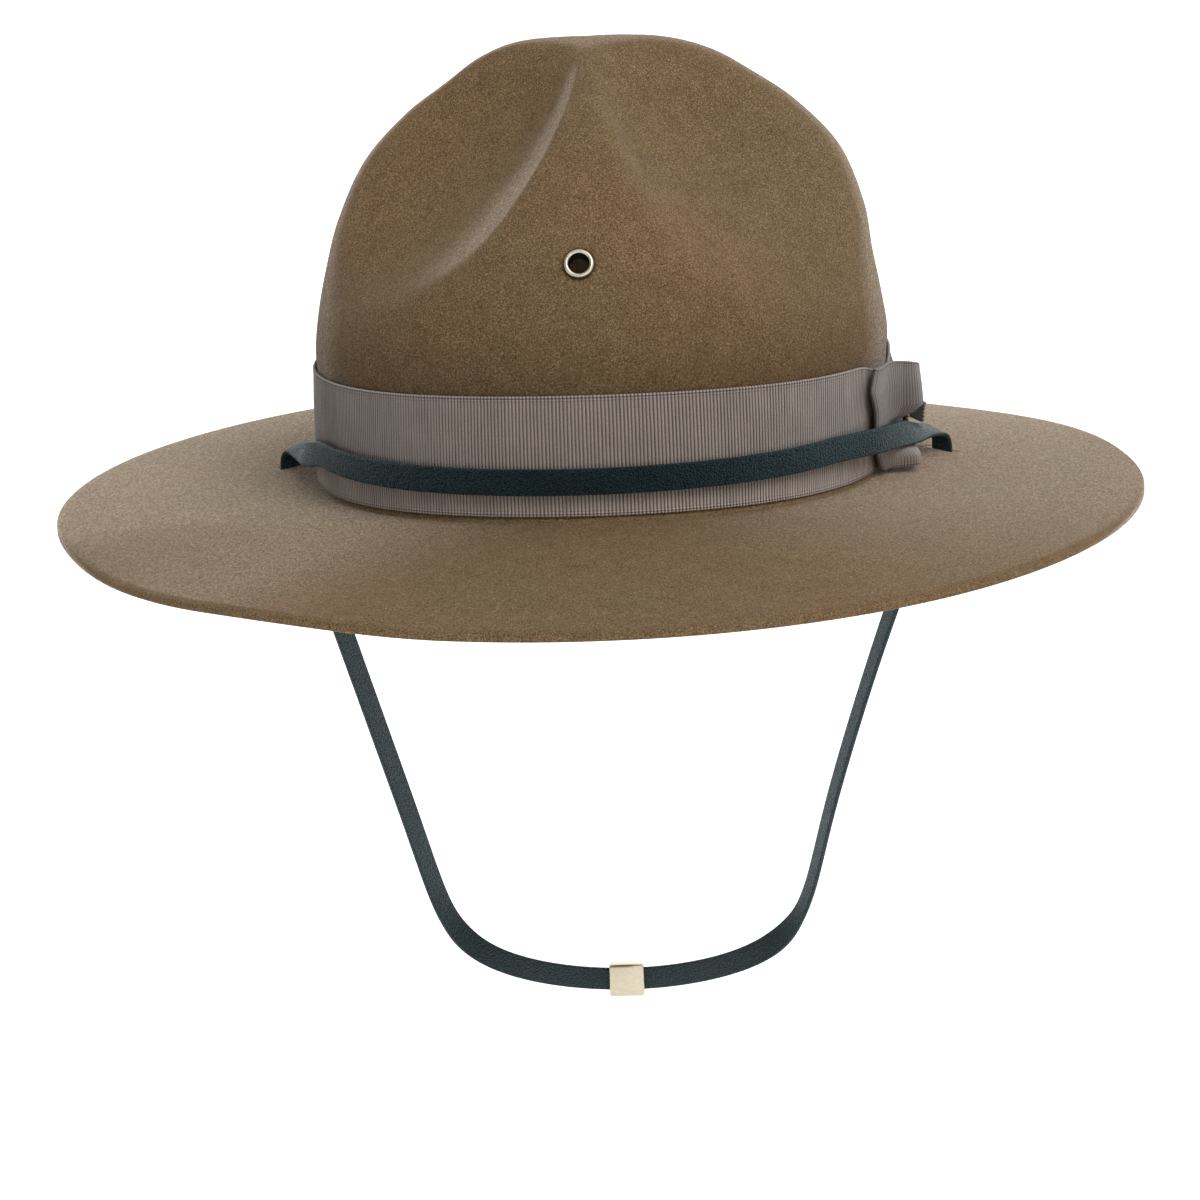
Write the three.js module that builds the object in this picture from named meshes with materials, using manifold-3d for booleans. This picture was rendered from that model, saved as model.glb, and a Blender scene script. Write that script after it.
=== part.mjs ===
// A felt campaign hat: a crown pinched with four dents, a flat brim, a ribbon band with a bow on the
// wearer's left, a front eyelet and a leather chin strap that runs through two slots in the brim.
// Millimetres. +Z is up, the front of the hat is at -Y and the wearer's left is at +X. The origin is the
// centre of the head opening, level with the lowest part of the crease between crown and brim.

import * as THREE from "three";
import { mergeVertices } from "three/addons/utils/BufferGeometryUtils.js";
import Module from "manifold-3d";

// Felt
const FELT_WALL = 2.6;
const HEAD_HALF_WIDTH = 84.0;
const HEAD_HALF_LENGTH = 100.2;
const CROWN_HEIGHT = 133.4;
const BRIM_WIDTH = 80.1;
const CREASE_RISE = 4.7;
const EDGE_DROP = { side: 5.8, front: 8.4, rear: 4.9 };
const CREASE_FILLET = 1.5;
const EDGE_ROUND = 0.6;

// Where the brim's edge leaves its even curve: the bearing, how many degrees to either side it does so, and
// how far it drops there, as a share of the brim's width.
const EDGE_WAVES = [
  { bearing: 60, reach: 45, drop: 0.052 },
  { bearing: 218, reach: 20, drop: 0.016 },
  { bearing: 243, reach: 16, drop: -0.011 },
];

// The crown's upright sections before it is pinched: how far out each lies, as a share of the base's
// half width or half length, and how high, as a share of the crown's height.
const CROWN_SECTIONS = [
  { along: 0.0, left: 1.0, right: 1.0, sideHeight: 0.0, front: 1.0, frontHeight: 0.0 },
  { along: 0.12, left: 1.025, right: 1.004, sideHeight: 0.15, front: 0.996, frontHeight: 0.15 },
  { along: 0.24, left: 1.043, right: 0.998, sideHeight: 0.29, front: 0.985, frontHeight: 0.29 },
  { along: 0.34, left: 1.025, right: 0.981, sideHeight: 0.395, front: 0.96, frontHeight: 0.4 },
  { along: 0.43, left: 0.999, right: 0.951, sideHeight: 0.496, front: 0.915, frontHeight: 0.495 },
  { along: 0.53, left: 0.975, right: 0.906, sideHeight: 0.605, front: 0.85, frontHeight: 0.6 },
  { along: 0.65, left: 0.895, right: 0.809, sideHeight: 0.737, front: 0.735, frontHeight: 0.72 },
  { along: 0.76, left: 0.748, right: 0.66, sideHeight: 0.842, front: 0.585, frontHeight: 0.825 },
  { along: 0.84, left: 0.603, right: 0.517, sideHeight: 0.91, front: 0.44, frontHeight: 0.9 },
  { along: 0.91, left: 0.445, right: 0.381, sideHeight: 0.968, front: 0.3, frontHeight: 0.955 },
  { along: 0.96, left: 0.26, right: 0.23, sideHeight: 0.998, front: 0.155, frontHeight: 0.99 },
  { along: 1.0, left: 0.0, right: 0.0, sideHeight: 1.0, front: 0.0, frontHeight: 1.0 },
];

// The four dents. Each is pushed in towards its bearing. The place and the sizes are shares of the base or
// of the crown's height, lip is how soft the dent's edge is, and ridge is the side, seen from outside, on
// which the front or rear ridge stands.
const DENTS = [
  { bearing: -139, out: 0.65, height: 0.805, along: 0.395, depth: 0.172, lip: 0.12, ridge: 1 },
  { bearing: -41, out: 0.7, height: 0.795, along: 0.38, depth: 0.142, lip: 0.22, ridge: -1 },
  { bearing: 44, out: 0.68, height: 0.795, along: 0.38, depth: 0.142, lip: 0.16, ridge: 1 },
  { bearing: 136, out: 0.66, height: 0.795, along: 0.38, depth: 0.142, lip: 0.16, ridge: -1 },
];
const DENT_PITCH = 33;
const DENT_ACROSS = 0.29;
const DENT_TAPER = 0.3;
const DENT_FADE = 0.4;
const DENT_CORE = 0.2;
const DENT_REACH = 0.41;

// Ribbon band and bow
const RIBBON_WIDTH = 34.5;
const RIBBON_THICKNESS = 1.0;
const RIBBON_LIFT = CREASE_FILLET;
const FIT_GAP = 0.3;

// Where the band's upper edge is drawn down under the bow: the bearing, how many degrees to either side it
// is, and how far, as a share of the ribbon's width.
const BAND_DIP = { bearing: -12, reach: 16, drop: 0.13 };

// The bow. A loop leaves the knot, turns back on itself and returns to it. Each row of its table is a
// section: its turn round the crown as a share of the loop's reach, how far it stands out of the band as a
// share of the loop's stand, free and where the strap presses on it, and its lower and upper edge as
// shares of the ribbon's width.
const BOW_BEARING = 8.0;
const LOOP_TURN = 29.7;
const LOOP_STAND = 10.2;
const LOOP_SECTIONS = [
  { turn: 0.1, free: 0.235, pressed: 0.235, foot: 0.13, top: 0.62 },
  { turn: 0.202, free: 0.21, pressed: 0.2, foot: 0.1, top: 0.66 },
  { turn: 0.337, free: 0.12, pressed: 0.095, foot: 0.0, top: 0.84 },
  { turn: 0.606, free: 0.1, pressed: 0.093, foot: 0.0, top: 0.9 },
  { turn: 0.875, free: 0.1, pressed: 0.093, foot: 0.0, top: 0.96 },
  { turn: 0.98, free: 0.13, pressed: 0.11, foot: 0.0, top: 0.97 },
  { turn: 0.97, free: 0.235, pressed: 0.19, foot: 0.0, top: 0.97 },
  { turn: 0.832, free: 0.25, pressed: 0.195, foot: 0.0, top: 0.985 },
  { turn: 0.737, free: 0.51, pressed: 0.21, foot: 0.0, top: 0.97 },
  { turn: 0.643, free: 1.0, pressed: 0.23, foot: 0.0, top: 0.93 },
  { turn: 0.455, free: 0.93, pressed: 0.24, foot: 0.0, top: 0.86 },
  { turn: 0.32, free: 0.8, pressed: 0.31, foot: 0.04, top: 0.76 },
  { turn: 0.222, free: 0.6, pressed: 0.42, foot: 0.1, top: 0.67 },
  { turn: 0.168, free: 0.5, pressed: 0.47, foot: 0.12, top: 0.635 },
  { turn: 0.1, free: 0.47, pressed: 0.47, foot: 0.12, top: 0.62 },
];
const LOOPS = {
  front: { side: -1, reach: 1.0, press: 1 },
  rear: { side: 1, reach: 0.85, press: 0 },
};

// How a loop changes over its height, a share of the ribbon's width: where the strap presses on it, how
// much of its stand it has, and how far its fold wanders, as a share of its turn.
const LOOP_ROWS = [
  { height: 0.0, press: 0.0, stand: 1.08, fold: -0.2 },
  { height: 0.12, press: 0.0, stand: 1.06, fold: -0.1 },
  { height: 0.2, press: 0.85, stand: 1.0, fold: -0.05 },
  { height: 0.28, press: 1.0, stand: 1.0, fold: -0.02 },
  { height: 0.44, press: 1.0, stand: 1.0, fold: 0.02 },
  { height: 0.52, press: 0.35, stand: 1.04, fold: 0.03 },
  { height: 0.6, press: 0.0, stand: 1.03, fold: 0.05 },
  { height: 0.8, press: 0.0, stand: 0.93, fold: 0.14 },
  { height: 1.0, press: 0.0, stand: 0.8, fold: 0.08 },
];

// The knot's wrap and the tail, as shares of the ribbon's width, of the loop's stand or of the knot's turn.
const KNOT_HALF_TURN = 4.2;
const KNOT_CORNER = 1.6;
const KNOT = { foot: 0.06, top: 0.7, back: 0.085, front: 0.68 };
const TAIL_LENGTH = 15.0;
const TAIL_TOOTH = 0.8;
const TAIL_TEETH = 6;
const TAIL = { low: 0.23, high: 0.42, turn: 0.6, lean: 0.19 };

// Eyelet
const EYELET_HEIGHT = 76.2;
const EYELET_BORE = 2.6;
const EYELET_BARREL = 3.2;
const EYELET_FLANGE = 4.3;
const EYELET_FLANGE_THICKNESS = 0.8;
const EYELET_BACK_GAP = 0.7;
const EYELET_ROUND = 0.3;

// Chin strap
const STRAP_WIDTH = 7.7;
const STRAP_THICKNESS = 1.5;
const STRAP_HEIGHT = { middle: 10.4, ends: 12.4 };
const STRAP_LEAVES = { right: -155, left: -38 };
const SLOT_LENGTH = 11.6;
const SLOT_OPENING = 3.4;
const SLOTS = {
  right: { bearing: 171.1, out: 12.6, turn: 132 },
  left: { bearing: 9.3, out: 21.3, turn: 48 },
};

// The strap's way from the band to each slot: where it is round the crown, how far it has fallen and how
// far out it stands, as shares of its width, and how far its face has tilted up.
const STRAP_WAYS = {
  right: [
    { bearing: 196.0, fall: 0.29, out: 0.06, tilt: 2 },
    { bearing: 188.4, fall: 0.57, out: 0.15, tilt: 16 },
    { bearing: 180.0, fall: 0.86, out: 0.3, tilt: 38 },
  ],
  left: [
    { bearing: -31.0, fall: 0.0, out: 0.13, tilt: 0 },
    { bearing: -24.0, fall: 0.05, out: 0.37, tilt: 0 },
    { bearing: -17.0, fall: 0.16, out: 0.45, tilt: 3 },
    { bearing: -9.4, fall: 0.36, out: 0.65, tilt: 17 },
    { bearing: -4.3, fall: 0.56, out: 0.91, tilt: 37 },
    { bearing: 0.7, fall: 0.74, out: 1.2, tilt: 56 },
  ],
};
const BEND_RADIUS = 3.4;
const BEND_HEIGHT = 6.5;
const BEND_ROLL = 17.5;

// The strap's loop under the brim
const LEG_START = 5.0;
const LEG_TWIST = 0.6;
const LEG_BOW = { right: 0, left: 3.0 };
const LOOP_DROP = 168;
const LOOP_SETBACK = 72;
const LOOP_HALF_WIDTH = 60.6;
const LOOP_SAG = 24;
const SLIDE_LENGTH = 11.0;
const SLIDE_WALL = 1.2;

// How finely the surfaces are divided
const AROUND = 72;
const CROWN_ROWS = 13;
const BRIM_ROWS = 5;
const BAND_ROWS = 4;
const LOOP_STEPS = 20;
const STRAP_STEPS = 144;
const STRAP_ARC_STEPS = 30;
const LOW_STEPS = 8;
const ROUND_FACETS = 24;

const BASE_HALF_WIDTH = HEAD_HALF_WIDTH + FELT_WALL;
const BASE_HALF_LENGTH = HEAD_HALF_LENGTH + FELT_WALL;
const UP = new THREE.Vector3(0, 0, 1);

const radians = THREE.MathUtils.degToRad;
const mix = THREE.MathUtils.lerp;

// Smooth interpolation through one column of a table, at a value of its key column.
function columnAt(rows, key, column, value) {
  const last = rows.length - 1;
  let i = 0;
  while (i < last - 1 && rows[i + 1][key] <= value) i += 1;
  const slope = (k) => {
    const before = rows[Math.max(k - 1, 0)];
    const after = rows[Math.min(k + 1, last)];
    return (after[column] - before[column]) / (after[key] - before[key]);
  };
  const step = rows[i + 1][key] - rows[i][key];
  const u = THREE.MathUtils.clamp((value - rows[i][key]) / step, 0, 1);
  const level = i + 1 === last && column.endsWith("Height");
  const endSlope = level ? 0 : slope(i + 1);
  return (
    (2 * u ** 3 - 3 * u ** 2 + 1) * rows[i][column] +
    (u ** 3 - 2 * u ** 2 + u) * step * slope(i) +
    (3 * u ** 2 - 2 * u ** 3) * rows[i + 1][column] +
    (u ** 3 - u ** 2) * step * endSlope
  );
}

// The dents, worked out once: centre, push direction and the two directions in the dent's own plane.
const dentFrames = DENTS.map((dent) => {
  const bearing = radians(dent.bearing);
  const pitch = radians(DENT_PITCH);
  const centre = new THREE.Vector3(
    BASE_HALF_WIDTH * dent.out * Math.cos(bearing),
    BASE_HALF_LENGTH * dent.out * Math.sin(bearing),
    CROWN_HEIGHT * dent.height,
  );
  const outward = new THREE.Vector3(
    Math.cos(bearing) * Math.cos(pitch),
    Math.sin(bearing) * Math.cos(pitch),
    Math.sin(pitch),
  );
  const sideways = new THREE.Vector3(-Math.sin(bearing), Math.cos(bearing), 0);
  const upward = outward.clone().cross(sideways);
  return { ...dent, centre, outward, sideways, upward };
});

// How far a dent pushes the felt in at a point of the open crown: a bowl with a rounded lip, which is
// crisp on the side of its ridge and fades out away from it.
function dentPush(dent, point) {
  const from = point.clone().sub(dent.centre);
  const v = from.dot(dent.upward) / (dent.along * CROWN_HEIGHT);
  const width = DENT_ACROSS * CROWN_HEIGHT * (1 - DENT_TAPER * THREE.MathUtils.clamp(v, -1, 1));
  const u = from.dot(dent.sideways) / width;
  const w = Math.min(from.dot(dent.outward), 0) / (DENT_REACH * CROWN_HEIGHT);
  const plane = u * u + v * v;
  const inside = 1 - plane - w * w;
  const toRidge = (dent.ridge * u) / Math.sqrt(plane + 1e-9);
  const fade = (0.5 - 0.5 * toRidge) ** 1.5 * (plane / (plane + DENT_CORE));
  const softness = dent.lip + DENT_FADE * fade;
  return 0.5 * dent.depth * CROWN_HEIGHT * (inside + Math.sqrt(inside ** 2 + softness ** 2));
}

// A point of the crown's outer face, at an angle round the hat and a share of the way up to its top.
function crownPoint(angle, along) {
  const lengthwise = Math.sin(angle) ** 2;
  const side = Math.cos(angle) > 0 ? "left" : "right";
  const at = (column) => columnAt(CROWN_SECTIONS, "along", column, along);
  const out = mix(at(side), at("front"), lengthwise);
  const height = mix(at("sideHeight"), at("frontHeight"), lengthwise) * CROWN_HEIGHT;
  const open = new THREE.Vector3(
    BASE_HALF_WIDTH * out * Math.cos(angle),
    BASE_HALF_LENGTH * out * Math.sin(angle),
    height + CREASE_RISE * lengthwise * (1 - along) ** 2,
  );
  const pinched = open.clone();
  for (const dent of dentFrames) pinched.addScaledVector(dent.outward, -dentPush(dent, open));
  return pinched;
}

// The level direction that faces straight out of the base's oval at an angle round the hat.
function outwardAt(angle) {
  return new THREE.Vector3(
    Math.cos(angle) / BASE_HALF_WIDTH,
    Math.sin(angle) / BASE_HALF_LENGTH,
    0,
  ).normalize();
}

// The share of its size by which a smooth wave lowers an edge at an angle round the hat.
function waveDrop(wave, angle) {
  const away = angle - radians(wave.bearing);
  const off = Math.abs(Math.atan2(Math.sin(away), Math.cos(away))) / radians(wave.reach);
  return off < 1 ? wave.drop * Math.cos((off * Math.PI) / 2) ** 2 : 0;
}

// A point of the brim's upper face, at an angle round the hat and a distance out from the crease.
function brimPoint(angle, distance) {
  const lengthwise = Math.sin(angle) ** 2;
  const end = Math.sin(angle) < 0 ? EDGE_DROP.front : EDGE_DROP.rear;
  const crease = CREASE_RISE * lengthwise;
  let edge = -mix(EDGE_DROP.side, end, lengthwise);
  for (const wave of EDGE_WAVES) edge -= waveDrop(wave, angle) * BRIM_WIDTH;
  const base = new THREE.Vector3(
    BASE_HALF_WIDTH * Math.cos(angle),
    BASE_HALF_LENGTH * Math.sin(angle),
    mix(crease, edge, distance / BRIM_WIDTH),
  );
  return base.addScaledVector(outwardAt(angle), distance);
}

// How far along the crown's section a height above the crease lies.
function alongAtHeight(angle, height) {
  const crease = CREASE_RISE * Math.sin(angle) ** 2;
  let low = 0;
  let high = 0.9;
  for (let i = 0; i < 30; i += 1) {
    const middle = (low + high) / 2;
    if (crownPoint(angle, middle).z - crease < height) low = middle;
    else high = middle;
  }
  return (low + high) / 2;
}

// The same for a height above the band's lower edge.
function bandAlong(angle, height) {
  return alongAtHeight(angle, RIBBON_LIFT + height);
}

// The heights at which the band, and the felt under it, are divided.
function bandHeights() {
  return Array.from({ length: BAND_ROWS }, (_, i) => (RIBBON_WIDTH * i) / (BAND_ROWS - 1));
}

// Rows of the felt's outer face from near the top of the crown to the edge of the brim.
function feltRows() {
  const rows = [];
  for (let i = 1; i < CROWN_ROWS; i += 1) {
    rows.push((angle) => crownPoint(angle, mix(1, bandAlong(angle, RIBBON_WIDTH), i / CROWN_ROWS)));
  }
  for (const height of bandHeights().reverse()) {
    rows.push((angle) => crownPoint(angle, bandAlong(angle, height)));
  }
  rows.push((angle) => {
    const wall = crownPoint(angle, bandAlong(angle, 0));
    const corner = brimPoint(angle, 0);
    const brim = brimPoint(angle, CREASE_FILLET);
    return wall.multiplyScalar(0.25).addScaledVector(corner, 0.5).addScaledVector(brim, 0.25);
  });
  for (let i = 0; i <= BRIM_ROWS; i += 1) {
    const distance = mix(CREASE_FILLET, BRIM_WIDTH - EDGE_ROUND, i / BRIM_ROWS);
    rows.push((angle) => brimPoint(angle, distance));
  }
  return rows;
}

// The direction that faces out of a row of the felt, from its neighbours round the hat and up it.
function faceOut(rows, index, angle) {
  const turn = 0.01;
  const round = rows[index](angle + turn).sub(rows[index](angle - turn));
  const above = rows[Math.max(index - 1, 0)](angle);
  const below = rows[Math.min(index + 1, rows.length - 1)](angle);
  return round.cross(above.sub(below)).normalize();
}

function geometryOf(points, triangles) {
  const geometry = new THREE.BufferGeometry();
  const numbers = points.flatMap((point) => [point.x, point.y, point.z]);
  geometry.setAttribute("position", new THREE.Float32BufferAttribute(numbers, 3));
  geometry.setIndex(triangles.flat());
  return geometry;
}

// A closed body from rings of points, each joined to the next. It ends in a point at either end, or is
// closed from its last ring back to its first.
function ringBody(rings, { first = null, last = null } = {}) {
  const count = rings[0].length;
  const points = rings.flat();
  const triangles = [];
  const join = (a, b) => {
    for (let i = 0; i < count; i += 1) {
      const k = (i + 1) % count;
      triangles.push([a + i, b + i, b + k], [a + i, b + k, a + k]);
    }
  };
  for (let r = 0; r < rings.length - 1; r += 1) join(r * count, (r + 1) * count);
  if (first && last) {
    const lastRing = (rings.length - 1) * count;
    points.push(first, last);
    for (let i = 0; i < count; i += 1) {
      const k = (i + 1) % count;
      triangles.push([points.length - 2, i, k], [points.length - 1, lastRing + k, lastRing + i]);
    }
  } else {
    join((rings.length - 1) * count, 0);
  }
  return geometryOf(points, triangles);
}

// A closed body from a sheet: a grid of middle points thickened to both sides of its faces.
function sheetBody(grid, thickness) {
  const rows = grid.length;
  const columns = grid[0].length;
  const clampTo = (value, count) => Math.min(Math.max(value, 0), count - 1);
  const facing = grid.map((row, r) =>
    row.map((point, c) => {
      const along = grid[clampTo(r + 1, rows)][c].clone().sub(grid[clampTo(r - 1, rows)][c]);
      const across = row[clampTo(c + 1, columns)].clone().sub(row[clampTo(c - 1, columns)]);
      return along.cross(across).normalize();
    }),
  );
  const rings = [-0.5, 0.5].map((side) =>
    grid.map((row, r) =>
      row.map((point, c) => point.clone().addScaledVector(facing[r][c], side * thickness)),
    ),
  );
  const points = [...rings[0].flat(), ...rings[1].flat()];
  const half = rows * columns;
  const at = (r, c) => r * columns + c;
  const triangles = [];
  const face = (a, b, c, d) => triangles.push([a, b, c], [a, c, d]);
  for (let r = 0; r < rows - 1; r += 1) {
    for (let c = 0; c < columns - 1; c += 1) {
      face(half + at(r, c), half + at(r + 1, c), half + at(r + 1, c + 1), half + at(r, c + 1));
      face(at(r, c), at(r, c + 1), at(r + 1, c + 1), at(r + 1, c));
    }
  }
  for (let r = 0; r < rows - 1; r += 1) {
    const end = columns - 1;
    face(at(r, 0), at(r + 1, 0), half + at(r + 1, 0), half + at(r, 0));
    face(at(r, end), half + at(r, end), half + at(r + 1, end), at(r + 1, end));
  }
  for (let c = 0; c < columns - 1; c += 1) {
    const end = rows - 1;
    face(at(0, c), half + at(0, c), half + at(0, c + 1), at(0, c + 1));
    face(at(end, c), at(end, c + 1), half + at(end, c + 1), half + at(end, c));
  }
  return geometryOf(points, triangles);
}

// Cuts closed bodies out of a closed body.
const wasm = await Module();
wasm.setup();

function solidOf(geometry) {
  const bare = geometry.clone();
  for (const name of ["normal", "uv"]) bare.deleteAttribute(name);
  const merged = mergeVertices(bare, 1e-4);
  return new wasm.Manifold(
    new wasm.Mesh({
      numProp: 3,
      vertProperties: new Float32Array(merged.attributes.position.array),
      triVerts: new Uint32Array(merged.index.array),
    }),
  );
}

function cutFrom(geometry, tools) {
  let solid = solidOf(geometry);
  for (const tool of tools) solid = solid.subtract(solidOf(tool));
  const mesh = solid.getMesh();
  const cut = new THREE.BufferGeometry();
  cut.setAttribute("position", new THREE.BufferAttribute(mesh.vertProperties, 3));
  cut.setIndex(new THREE.BufferAttribute(mesh.triVerts, 1));
  return cut;
}

function angles() {
  return Array.from({ length: AROUND }, (_, i) => (2 * Math.PI * i) / AROUND);
}

// The eyelet's place: a point on the front of the crown and the direction that it faces.
function eyeletPlace() {
  const front = -Math.PI / 2;
  const along = alongAtHeight(front, EYELET_HEIGHT - CREASE_RISE);
  const step = 0.02;
  const centre = crownPoint(front, along);
  const upward = crownPoint(front, along + step).sub(crownPoint(front, along - step)).normalize();
  const outward = new THREE.Vector3(1, 0, 0).cross(upward);
  return { centre, outward };
}

function placedAlong(geometry, { centre, outward }) {
  const turn = new THREE.Quaternion().setFromUnitVectors(UP, outward);
  return geometry.applyQuaternion(turn).translate(centre.x, centre.y, centre.z);
}

// A slot's place on the brim, the direction of its length and the direction in which the strap crosses it.
function slotPlace(slot) {
  const centre = brimPoint(radians(slot.bearing), slot.out);
  const turn = radians(slot.turn);
  const crossing = new THREE.Vector3(Math.cos(turn), Math.sin(turn), 0);
  const lengthways = crossing.clone().cross(UP);
  return { centre, crossing, lengthways };
}

function slotCutter(slot) {
  const { centre, crossing, lengthways } = slotPlace(slot);
  const tall = 6 * FELT_WALL;
  const box = new THREE.BoxGeometry(SLOT_LENGTH, SLOT_OPENING, tall);
  const turned = new THREE.Matrix4().makeBasis(lengthways, UP.clone().cross(lengthways), UP);
  return box.applyMatrix4(turned).translate(centre.x, centre.y, centre.z);
}

function feltGeometry() {
  const rows = feltRows();
  const outer = rows.map((row) => angles().map(row));
  const inner = rows.map((row, r) =>
    angles().map((angle) => row(angle).addScaledVector(faceOut(rows, r, angle), -FELT_WALL)),
  );
  const edge = angles().map((angle) => {
    const rim = brimPoint(angle, BRIM_WIDTH);
    return rim.addScaledVector(UP, -FELT_WALL / 2);
  });
  const top = crownPoint(0, 1);
  const under = top.clone().addScaledVector(UP, -FELT_WALL);
  const body = ringBody([...outer, edge, ...inner.reverse()], { first: top, last: under });
  const hole = new THREE.CylinderGeometry(
    EYELET_BARREL + FIT_GAP,
    EYELET_BARREL + FIT_GAP,
    6 * FELT_WALL,
    ROUND_FACETS,
  ).rotateX(Math.PI / 2);
  return cutFrom(body, [
    placedAlong(hole, eyeletPlace()),
    slotCutter(SLOTS.right),
    slotCutter(SLOTS.left),
  ]);
}

// A point at a distance out from the crown's face, at a height above the band's lower edge.
function besideCrown(angle, height, distance) {
  const face = crownPoint(angle, bandAlong(angle, height));
  return face.addScaledVector(outwardAt(angle), distance);
}

const BAND_FACE = FIT_GAP + RIBBON_THICKNESS;
const STRAP_FACE = BAND_FACE + 1.5 * FIT_GAP + STRAP_THICKNESS / 2;

function bandGeometry() {
  const ring = (height, distance) =>
    angles().map((angle) => besideCrown(angle, height * (1 - waveDrop(BAND_DIP, angle)), distance));
  const inside = bandHeights().map((height) => ring(height, FIT_GAP));
  const outside = bandHeights().map((height) => ring(height, BAND_FACE));
  return ringBody([...inside, ...outside.reverse()]);
}

// A row of a table at a share of the way through it, with every column on a smooth curve.
function rowAt(rows, share) {
  const last = rows.length - 1;
  const place = share * last;
  const k = Math.min(Math.floor(place), last - 1);
  const u = place - k;
  const row = {};
  for (const column of Object.keys(rows[0])) {
    const value = (step) => rows[THREE.MathUtils.clamp(k + step, 0, last)][column];
    const start = (value(1) - value(-1)) / 2;
    const end = (value(2) - value(0)) / 2;
    row[column] =
      (2 * u ** 3 - 3 * u ** 2 + 1) * value(0) +
      (u ** 3 - 2 * u ** 2 + u) * start +
      (3 * u ** 2 - 2 * u ** 3) * value(1) +
      (u ** 3 - u ** 2) * end;
  }
  return row;
}

// A point of a loop's middle surface, in a section and at a row of its height. The more the section stands
// out, the more its stand changes over the height. The fold wanders most, and the knot's end not at all.
function loopPoint(loop, section, row) {
  const turn = section.turn * (1 + row.fold * section.turn ** 3);
  const angle = radians(BOW_BEARING + loop.side * loop.reach * LOOP_TURN * turn);
  const height = RIBBON_WIDTH * mix(section.foot, section.top, row.height);
  const stand = mix(section.free, section.pressed, row.press * loop.press);
  const shaped = stand * (1 + (row.stand - 1) * stand);
  return besideCrown(angle, height, BAND_FACE + LOOP_STAND * shaped);
}

function loopGeometry(loop) {
  const grid = [];
  for (let i = 0; i <= LOOP_STEPS; i += 1) {
    const section = rowAt(LOOP_SECTIONS, i / LOOP_STEPS);
    grid.push(LOOP_ROWS.map((row) => loopPoint(loop, section, row)));
  }
  if (loop.side > 0) grid.reverse();
  return sheetBody(grid, RIBBON_THICKNESS);
}

// The knot: a short length of ribbon wrapped round the ends of both loops.
function knotGeometry() {
  const low = KNOT.foot * RIBBON_WIDTH;
  const high = KNOT.top * RIBBON_WIDTH;
  const back = KNOT.back * LOOP_STAND;
  const front = KNOT.front * LOOP_STAND;
  const outline = new THREE.Shape();
  outline.moveTo(back, low);
  outline.lineTo(front - KNOT_CORNER, low);
  outline.quadraticCurveTo(front, low, front, low + KNOT_CORNER);
  outline.lineTo(front, high - KNOT_CORNER);
  outline.quadraticCurveTo(front, high, front - KNOT_CORNER, high);
  outline.lineTo(back, high);
  outline.closePath();
  const corners = outline.getPoints(3).slice(0, -1);
  const middle = new THREE.Vector2((back + front) / 2, (low + high) / 2);
  const half = new THREE.Vector2((front - back) / 2, (high - low) / 2);
  const ringAt = (offset, angle) =>
    corners.map((point) => {
      const out = mix(middle.x, point.x, 1 + offset / half.x);
      const up = mix(middle.y, point.y, 1 + offset / half.y);
      return besideCrown(angle, up, BAND_FACE + out);
    });
  const turns = [-1, -1 / 3, 1 / 3, 1].map((share) => radians(BOW_BEARING + share * KNOT_HALF_TURN));
  const inside = turns.map((angle) => ringAt(-RIBBON_THICKNESS / 2, angle));
  const outside = turns.map((angle) => ringAt(RIBBON_THICKNESS / 2, angle));
  return ringBody([...inside.reverse(), ...outside]);
}

// The tail: a short end of ribbon that stands out beside the knot, cut with a zigzag edge.
function tailGeometry() {
  const steps = 4;
  const rows = 2 * TAIL_TEETH + 1;
  const angle = radians(BOW_BEARING + KNOT_HALF_TURN * TAIL.turn);
  const outward = outwardAt(angle);
  const forward = UP.clone().cross(outward).negate();
  const start = BAND_FACE + KNOT.front * LOOP_STAND + RIBBON_THICKNESS + FIT_GAP;
  const grid = [];
  for (let i = 0; i <= steps; i += 1) {
    const row = [];
    for (let j = 0; j < rows; j += 1) {
      const height = RIBBON_WIDTH * mix(TAIL.low, TAIL.high, j / (rows - 1));
      const tooth = i === steps && j % 2 === 1 ? TAIL_TOOTH : 0;
      const along = (TAIL_LENGTH * i) / steps - tooth;
      const root = besideCrown(angle, height, start + TAIL.lean * along);
      row.push(root.addScaledVector(forward, along));
    }
    grid.push(row);
  }
  return sheetBody(grid, RIBBON_THICKNESS);
}

function eyeletGeometry() {
  const back = -FELT_WALL - EYELET_BACK_GAP - EYELET_FLANGE_THICKNESS;
  const front = FIT_GAP + EYELET_FLANGE_THICKNESS;
  const slope = EYELET_ROUND;
  const profile = [
    [EYELET_BORE, back + slope],
    [EYELET_BORE + slope, back],
    [EYELET_FLANGE - slope, back],
    [EYELET_FLANGE, back + slope],
    [EYELET_FLANGE, back + EYELET_FLANGE_THICKNESS],
    [EYELET_BARREL, back + EYELET_FLANGE_THICKNESS],
    [EYELET_BARREL, front - EYELET_FLANGE_THICKNESS],
    [EYELET_FLANGE, front - EYELET_FLANGE_THICKNESS],
    [EYELET_FLANGE, front - slope],
    [EYELET_FLANGE - slope, front],
    [EYELET_BORE + slope, front],
    [EYELET_BORE, front - slope],
    [EYELET_BORE, back + slope],
  ].map(([radius, height]) => new THREE.Vector2(radius, height));
  const lathe = new THREE.LatheGeometry(profile, ROUND_FACETS).rotateX(Math.PI / 2);
  return placedAlong(lathe, eyeletPlace());
}

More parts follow.
